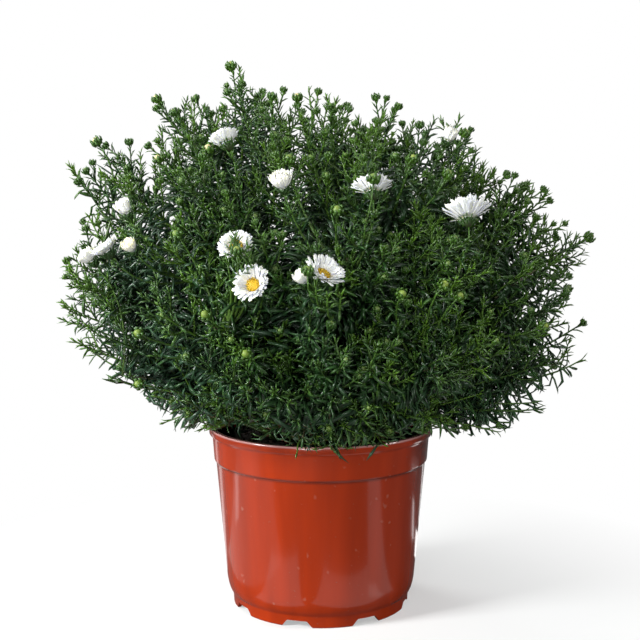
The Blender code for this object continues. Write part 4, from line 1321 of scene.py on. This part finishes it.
def pot_profile():
    """Radius and height up the inside, over the rounded lip and down the outside to the base."""
    wall_top = COLLAR_RADIUS - STEP_DEPTH
    under_lip = POT_HEIGHT - LIP_HEIGHT
    foot_inner = FOOT_RADIUS - FOOT_WIDTH
    floor_radius = CORNER_RADIUS - WALL - 0.0012
    return [
        (0.0, BASE_TOP),
        (floor_radius - 0.0015, BASE_TOP),
        (floor_radius, BASE_TOP + 0.0012),
        (WALL_LOW_RADIUS - WALL, WALL_LOW_Z),
        (wall_top - WALL, COLLAR_BOTTOM - WALL),
        (COLLAR_RADIUS - WALL - 0.0002, COLLAR_BOTTOM - 0.0004),
        (COLLAR_RADIUS - WALL, COLLAR_BOTTOM + 0.0006),
        (COLLAR_TOP_RADIUS - WALL, POT_HEIGHT - 0.0012),
        (COLLAR_TOP_RADIUS - WALL + 0.0004, POT_HEIGHT - 0.0003),
        (COLLAR_TOP_RADIUS - WALL + 0.0012, POT_HEIGHT),
        (LIP_RADIUS - 0.0012, POT_HEIGHT),
        (LIP_RADIUS - 0.0005, POT_HEIGHT - 0.0002),
        (LIP_RADIUS - 0.0001, POT_HEIGHT - 0.0008),
        (LIP_RADIUS, POT_HEIGHT - 0.0016),
        (LIP_RADIUS, under_lip + 0.0006),
        (LIP_RADIUS - 0.0003, under_lip + 0.0001),
        (LIP_RADIUS - 0.0010, under_lip - 0.0001),
        (COLLAR_TOP_RADIUS + 0.0005, under_lip - 0.0004),
        (COLLAR_TOP_RADIUS + 0.0001, under_lip - 0.0010),
        (COLLAR_TOP_RADIUS - 0.0001, under_lip - 0.0024),
        (COLLAR_RADIUS + 0.0001, COLLAR_BOTTOM + 0.0016),
        (COLLAR_RADIUS, COLLAR_BOTTOM + 0.0008),
        (COLLAR_RADIUS - 0.0003, COLLAR_BOTTOM + 0.0002),
        (wall_top + 0.0003, COLLAR_BOTTOM - 0.0004),
        (wall_top, COLLAR_BOTTOM - 0.0010),
        (WALL_LOW_RADIUS + 0.0006, WALL_LOW_Z + 0.0060),
        (WALL_LOW_RADIUS + 0.0002, WALL_LOW_Z + 0.0016),
        (WALL_LOW_RADIUS - 0.0005, WALL_LOW_Z - 0.0022),
        (CORNER_RADIUS + 0.0012, CORNER_Z + 0.0026),
        (CORNER_RADIUS, CORNER_Z),
        (FOOT_RADIUS + 0.0003, FOOT_HEIGHT + 0.0002),
        (FOOT_RADIUS, FOOT_HEIGHT - 0.0008),
        (FOOT_RADIUS - 0.0004, 0.0006),
        (FOOT_RADIUS - 0.0009, 0.0),
        (foot_inner + 0.0004, 0.0),
        (foot_inner, 0.0005),
        (foot_inner, BASE_UNDERSIDE),
        (0.0, BASE_UNDERSIDE),
    ]


def turned(name, profile, steps):
    """Extrudes one point along a profile, and spins it into a closed solid."""
    deselect()
    bpy.ops.mesh.primitive_plane_add(size=0.001, location=(profile[0][0], 0, profile[0][1]))
    obj = bpy.context.object
    obj.name = obj.data.name = name
    bpy.ops.object.transform_apply(location=True, rotation=False, scale=False)
    edit_all()
    bpy.ops.mesh.merge(type="CENTER")
    for (radius, height), (next_radius, next_height) in zip(profile, profile[1:]):
        bpy.ops.mesh.extrude_region_move(
            TRANSFORM_OT_translate={"value": (next_radius - radius, 0, next_height - height)}
        )
    bpy.ops.mesh.select_all(action="SELECT")
    bpy.ops.mesh.spin(steps=steps, angle=math.tau, center=(0, 0, 0), axis=(0, 0, 1))
    bpy.ops.mesh.select_all(action="SELECT")
    bpy.ops.mesh.remove_doubles(threshold=0.00002)
    return leave_outward()


def cut_with(obj, cutter):
    """Cuts a shape out of an object, and removes the cutter."""
    boolean = obj.modifiers.new("Cut", "BOOLEAN")
    boolean.operation = "DIFFERENCE"
    boolean.object = cutter
    applied(obj, boolean)
    bpy.data.objects.remove(cutter)


def notch_cutter(angle):
    """A rounded wedge across the foot ring, wider at the bottom."""
    deselect()
    bpy.ops.mesh.primitive_cube_add(size=1.0)
    cutter = bpy.context.object
    along = Vector((math.cos(angle), math.sin(angle), 0))
    out = Vector((math.sin(angle), -math.cos(angle), 0))
    for vert in cutter.data.vertices:
        top = vert.co.z > 0
        wide = NOTCH_TOP if top else 2 * NOTCH_FOOT - NOTCH_TOP
        place = along * vert.co.x * wide + out * (FOOT_RADIUS + vert.co.y * 4 * FOOT_WIDTH)
        vert.co = place + Vector((0, 0, NOTCH_HEIGHT if top else -NOTCH_HEIGHT))
    edit_all()
    leave_outward()
    bevel = cutter.modifiers.new("Round", "BEVEL")
    bevel.width = NOTCH_ROUNDING
    bevel.segments = 3
    bevel.limit_method = "ANGLE"
    applied(cutter, bevel)
    return cutter


def drain_cutter(angle):
    """A round pin through the base."""
    deselect()
    bpy.ops.mesh.primitive_cylinder_add(
        vertices=24, radius=DRAIN_RADIUS, depth=4 * WALL,
        location=(DRAIN_CIRCLE * math.sin(angle), -DRAIN_CIRCLE * math.cos(angle), BASE_UNDERSIDE),
    )
    return bpy.context.object


class ASTER_OT_pot(bpy.types.Operator):
    """Builds the turned plastic pot with its notched foot"""

    bl_idname = "aster.pot"
    bl_label = "Build Pot"

    def execute(self, context):
        settings = context.scene.aster_pot
        pot = turned("nursery_pot", pot_profile(), settings.steps)
        for index in range(NOTCHES):
            angle = NOTCH_TURN + index * math.tau / NOTCHES
            cut_with(pot, notch_cutter(angle))
            cut_with(pot, drain_cutter(angle))
        deselect()
        pot.select_set(True)
        context.view_layer.objects.active = pot
        bpy.ops.object.shade_smooth_by_angle(angle=math.radians(32))
        pot.data.materials.clear()
        pot.data.materials.append(plastic_material(settings))
        placed(pot, "pot_plastic", "pot")
        return {"FINISHED"}


def soil_profile(inner):
    """Radius and height over the soil's top, down along the pot's wall and over its floor."""
    floor = BASE_TOP + 0.0003
    return [(inner * ring / SOIL_RINGS, SOIL_TOP) for ring in range(SOIL_RINGS)] + [
        (inner, SOIL_TOP - 0.0015),
        (inner, COLLAR_BOTTOM + 0.001),
        (COLLAR_RADIUS - STEP_DEPTH - WALL - SOIL_GAP, COLLAR_BOTTOM - WALL),
        (WALL_LOW_RADIUS - WALL - SOIL_GAP, WALL_LOW_Z),
        (CORNER_RADIUS - WALL - 0.0018, floor + 0.0012),
        (CORNER_RADIUS - WALL - 0.0040, floor),
        (0.0, floor),
    ]


def add_crumbs(growth, inner):
    """Small clods strewn over the soil."""
    deselect()
    bpy.ops.mesh.primitive_ico_sphere_add(subdivisions=1, radius=1.0)
    points, triangles = taken(bpy.context.object)
    random = np.random.default_rng(4)
    for _ in range(CRUMBS):
        far, turn = inner * 0.97 * math.sqrt(random.uniform()), random.uniform(0, math.tau)
        size = 0.0006 + 0.0018 * random.uniform() ** 3
        shape = points * random.uniform(0.6, 1.2, 3) + random.normal(0, 0.12, points.shape)
        middle = np.array((far * math.cos(turn), far * math.sin(turn), SOIL_TOP + size * 0.35))
        tones = np.full((len(points), 3), random.uniform())
        growth.add(middle + shape * size, triangles, tones, 0)


class ASTER_OT_soil(bpy.types.Operator):
    """Builds the lumpy potting soil with its crumbs"""

    bl_idname = "aster.soil"
    bl_label = "Build Soil"

    def execute(self, context):
        inner = COLLAR_RADIUS - WALL - SOIL_GAP
        soil = turned("potting_soil", soil_profile(inner), 96)
        for vert in soil.data.vertices:
            if vert.co.z > SOIL_TOP - 0.0003:
                vert.co.z += sum(rise * noise.noise(vert.co * lumps) for rise, lumps in SOIL_LUMPS)
        points, triangles = taken(soil)
        growth = Growth()
        growth.add(points, triangles, np.zeros((len(points), 3)), 0)
        add_crumbs(growth, inner)
        piece = growth.made("potting_soil", [soil_material()])
        piece.data.shade_smooth()
        placed(piece, "soil", "soil")
        return {"FINISHED"}


class ASTER_OT_bush(bpy.types.Operator):
    """Grows the leafy stems, with their shoots, leaves and buds"""

    bl_idname = "aster.bush"
    bl_label = "Grow Bush"

    def execute(self, context):
        settings = context.scene.aster_bush
        bush = Bush(settings)
        bush.grow_stems()
        bush.grow_stalks()
        bush.grow_buds()
        bush.grow_branches()
        bush.grow_front_shoots()
        materials = [
            leaf_material(settings), twig_material(settings), bud_material(settings),
            bark_material(),
        ]
        for number, growth in enumerate(bush.growths, 1):
            bush.stamp_leaves(growth)
            piece = growth.made(f"stem_{number:02d}_foliage", materials)
            placed(piece, "aster_green", f"leafy_stem_{number:02d}")
        return {"FINISHED"}


def build_petals(bloom, petal, settings, material):
    """Rows of petals round the hub, closed in a brush where the bloom is half open."""
    random = np.random.default_rng(sum(map(ord, bloom.name)))
    growth = Growth()
    line = bloom.middle + bloom.way * np.array((-0.5, 0.5))[:, None] * HUB_THICKNESS
    growth.tube(line, np.full(2, bloom.hub * HUB_SHOWN), 24, 0.2, 0)
    rows, count, curl, step, closed = (
        (OPEN_ROWS, settings.petals, 0.0, 0.05, 0.0) if bloom.open else
        (HALF_OPEN_ROWS, HALF_OPEN_PETALS, -1.0, 0.22, CREAM.get(bloom.name, 0.6))
    )
    for level, (lifted, share) in enumerate(rows):
        turn = (np.arange(count) + 0.5 * level) * math.tau / count + random.normal(0, 0.05, count)
        out = around(bloom.across, bloom.over, turn)
        lift = (bloom.lift + np.radians(lifted + random.normal(0, 4, count)))[:, None]
        way = out * np.cos(lift) + bloom.way * np.sin(lift)
        over = bloom.way * np.cos(lift) - out * np.sin(lift)
        hub = bloom.hub * (0.90 - step * level)
        root = bloom.middle + out * hub + bloom.way * (0.0002 + 0.0003 * level)
        shorter = np.maximum(out @ np.array(SHORT_SIDE.get(bloom.name, (0, 0, 0))), 0)
        length = (bloom.radius - bloom.hub * 0.8) * share * random.uniform(0.93, 1.03, count)
        width = settings.petal_width * random.uniform(0.85, 1.1, count)
        growth.stamp(petal, blade_rows(
            root, way, over, length * (1 - shorter), width * KEELED_WIDTH,
            random.normal(curl, 0.20, count), random.uniform(0, 1, count), closed,
        ), 0)
    piece = growth.made(f"{bloom.name}_petals", [material])
    piece.data.shade_smooth()
    placed(piece, "petal_white", f"{bloom.name}_rays")


def build_florets(bloom, floret, settings, material):
    """Florets in a spiral over the low dome in the bloom's middle."""
    random = np.random.default_rng(len(bloom.name))
    count = settings.florets
    growth = Growth()
    foot = bloom.middle + bloom.way * HUB_THICKNESS * 0.6
    line = foot + bloom.way * (DISC_LEVELS * DISC_HEIGHT)[:, None]
    growth.tube(line, DISC_RADIUS * DISC_RADII, 16, 0.3, 0)
    share = np.sqrt((np.arange(count) + 0.5) / count)
    out = around(bloom.across, bloom.over, spiral(count))
    dome = (0.74 - 0.62 * share ** 2)[:, None] * DISC_HEIGHT
    root = foot + out * (share * DISC_RADIUS * 0.84)[:, None] + bloom.way * dome
    way = unit(bloom.way + out * (share * 0.55)[:, None] + random.normal(0, 0.06, out.shape))
    size = DISC_HEIGHT * (0.42 + 0.32 * share) * random.uniform(0.85, 1.15, count)
    growth.stamp(floret, blade_rows(
        root, way, out + bloom.way * 0.01, size, size * 0.62, 0, random.uniform(0, 1, count),
        1 - share,
    ), 0)
    placed(growth.made(f"{bloom.name}_florets", [material]), "disc_yellow", f"{bloom.name}_disc")


class ASTER_OT_blooms(bpy.types.Operator):
    """Builds the petals and the yellow middle of each bloom"""

    bl_idname = "aster.blooms"
    bl_label = "Build Blooms"

    def execute(self, context):
        settings = context.scene.aster_bloom
        petal, floret = model_petal(), model_floret()
        white, yellow = petal_material(), floret_material()
        for bloom in all_blooms(Fan()):
            build_petals(bloom, petal, settings, white)
            if bloom.open:
                build_florets(bloom, floret, settings, yellow)
        return {"FINISHED"}


def area_light(name, width, depth, energy, place, turned_to):
    """A rectangular light of the given size, place and rotation."""
    light = bpy.data.lights.new(name, "AREA")
    light.shape = "RECTANGLE"
    light.size, light.size_y = width, depth
    light.energy = energy
    obj = bpy.data.objects.new(name, light)
    obj.location = place
    obj.rotation_euler = turned_to
    bpy.context.scene.collection.objects.link(obj)
    return obj


def set_lights(strength):
    """The soft boxes round the plant, and the glows on the floor."""
    for name, (place, width, power) in SOFTBOXES.items():
        facing = (SOFTBOX_AIM - Vector(place)).to_track_quat("-Z", "Y").to_euler()
        box = area_light(name, width, width, power * strength, place, facing)
        box.data.color = SOFTBOX_COLOUR
    for name, (angle, width, near, far, brightness) in FLOOR_GLOWS.items():
        turn, reach, depth = math.radians(angle), (near + far) / 2, far - near
        place = (reach * math.sin(turn), -reach * math.cos(turn), 0.001)
        energy = brightness * math.pi * width * depth * strength
        glow = area_light(name, width, depth, energy, place, (math.pi, 0, turn))
        glow.visible_camera = glow.visible_diffuse = False


def set_world(strength):
    """A studio that is plain white to the camera, dim as light, and bright overhead in gloss."""
    world = bpy.data.worlds.new("studio")
    bpy.context.scene.world = world
    world.use_nodes = True
    tree = world.node_tree
    background = tree.nodes["Background"]
    path = tree.nodes.new("ShaderNodeLightPath")
    where = tree.nodes.new("ShaderNodeTexCoord")
    overhead = mapped(tree, parts_of(tree, where.outputs["Generated"])["Z"], 0.35, 0.80)
    shine = colour_mix(tree, LOW_SHINE, HIGH_SHINE, overhead)
    lit = colour_mix(tree, STUDIO_AS_LIGHT, shine, path.outputs["Is Glossy Ray"])
    seen = colour_mix(tree, lit, STUDIO_SEEN, path.outputs["Is Camera Ray"])
    tree.links.new(seen, background.inputs["Color"])
    background.inputs["Strength"].default_value = strength


def set_camera():
    """The camera at the photo's place, angle and focal length."""
    camera = bpy.data.cameras.new("camera")
    camera.sensor_width = SENSOR_WIDTH
    camera.lens = SENSOR_WIDTH * FOCAL_PIXELS / PHOTO_WIDTH
    camera.shift_x = -0.0011
    camera.clip_start = 0.05
    obj = bpy.data.objects.new("camera", camera)
    obj.location = CAMERA_PLACE
    obj.rotation_euler = (math.radians(90 - CAMERA_DOWN), 0, 0)
    bpy.context.scene.collection.objects.link(obj)
    bpy.context.scene.camera = obj


class ASTER_OT_stage(bpy.types.Operator):
    """Sets up the pale floor, the soft studio light and the camera"""

    bl_idname = "aster.stage"
    bl_label = "Set Up Stage"

    def execute(self, context):
        settings = context.scene.aster_stage
        deselect()
        bpy.ops.mesh.primitive_plane_add(size=settings.floor_size, location=(0, 0, -0.0002))
        floor = context.object
        floor.name = "studio_floor"
        floor.data.materials.append(paper_material())
        set_world(settings.light)
        set_lights(settings.light)
        set_camera()
        context.scene.view_settings.view_transform = "Standard"
        return {"FINISHED"}


class ASTER_PT_panel(bpy.types.Panel):
    bl_label = "Potted Aster"
    bl_idname = "ASTER_PT_panel"
    bl_space_type = "VIEW_3D"
    bl_region_type = "UI"
    bl_category = "Aster"

    def draw(self, context):
        for settings, operator in (
            ("aster_pot", "aster.pot"), (None, "aster.soil"), ("aster_bush", "aster.bush"),
            ("aster_bloom", "aster.blooms"), ("aster_stage", "aster.stage"),
        ):
            box = self.layout.box()
            if settings:
                group = getattr(context.scene, settings)
                for name in group.bl_rna.properties.keys():
                    if name not in ("rna_type", "name"):
                        box.prop(group, name)
            box.operator(operator)


SETTINGS = {
    "aster_pot": PotSettings, "aster_bush": BushSettings, "aster_bloom": BloomSettings,
    "aster_stage": StageSettings,
}
CLASSES = (
    *SETTINGS.values(), ASTER_OT_pot, ASTER_OT_soil, ASTER_OT_bush, ASTER_OT_blooms,
    ASTER_OT_stage, ASTER_PT_panel,
)


def register():
    for cls in CLASSES:
        bpy.utils.register_class(cls)
    for name, group in SETTINGS.items():
        setattr(bpy.types.Scene, name, bpy.props.PointerProperty(type=group))


def unregister():
    for name in SETTINGS:
        delattr(bpy.types.Scene, name)
    for cls in reversed(CLASSES):
        bpy.utils.unregister_class(cls)


def main():
    register()
    bpy.ops.aster.pot()
    bpy.ops.aster.soil()
    bpy.ops.aster.bush()
    bpy.ops.aster.blooms()
    bpy.ops.aster.stage()


if __name__ == "__main__":
    main()
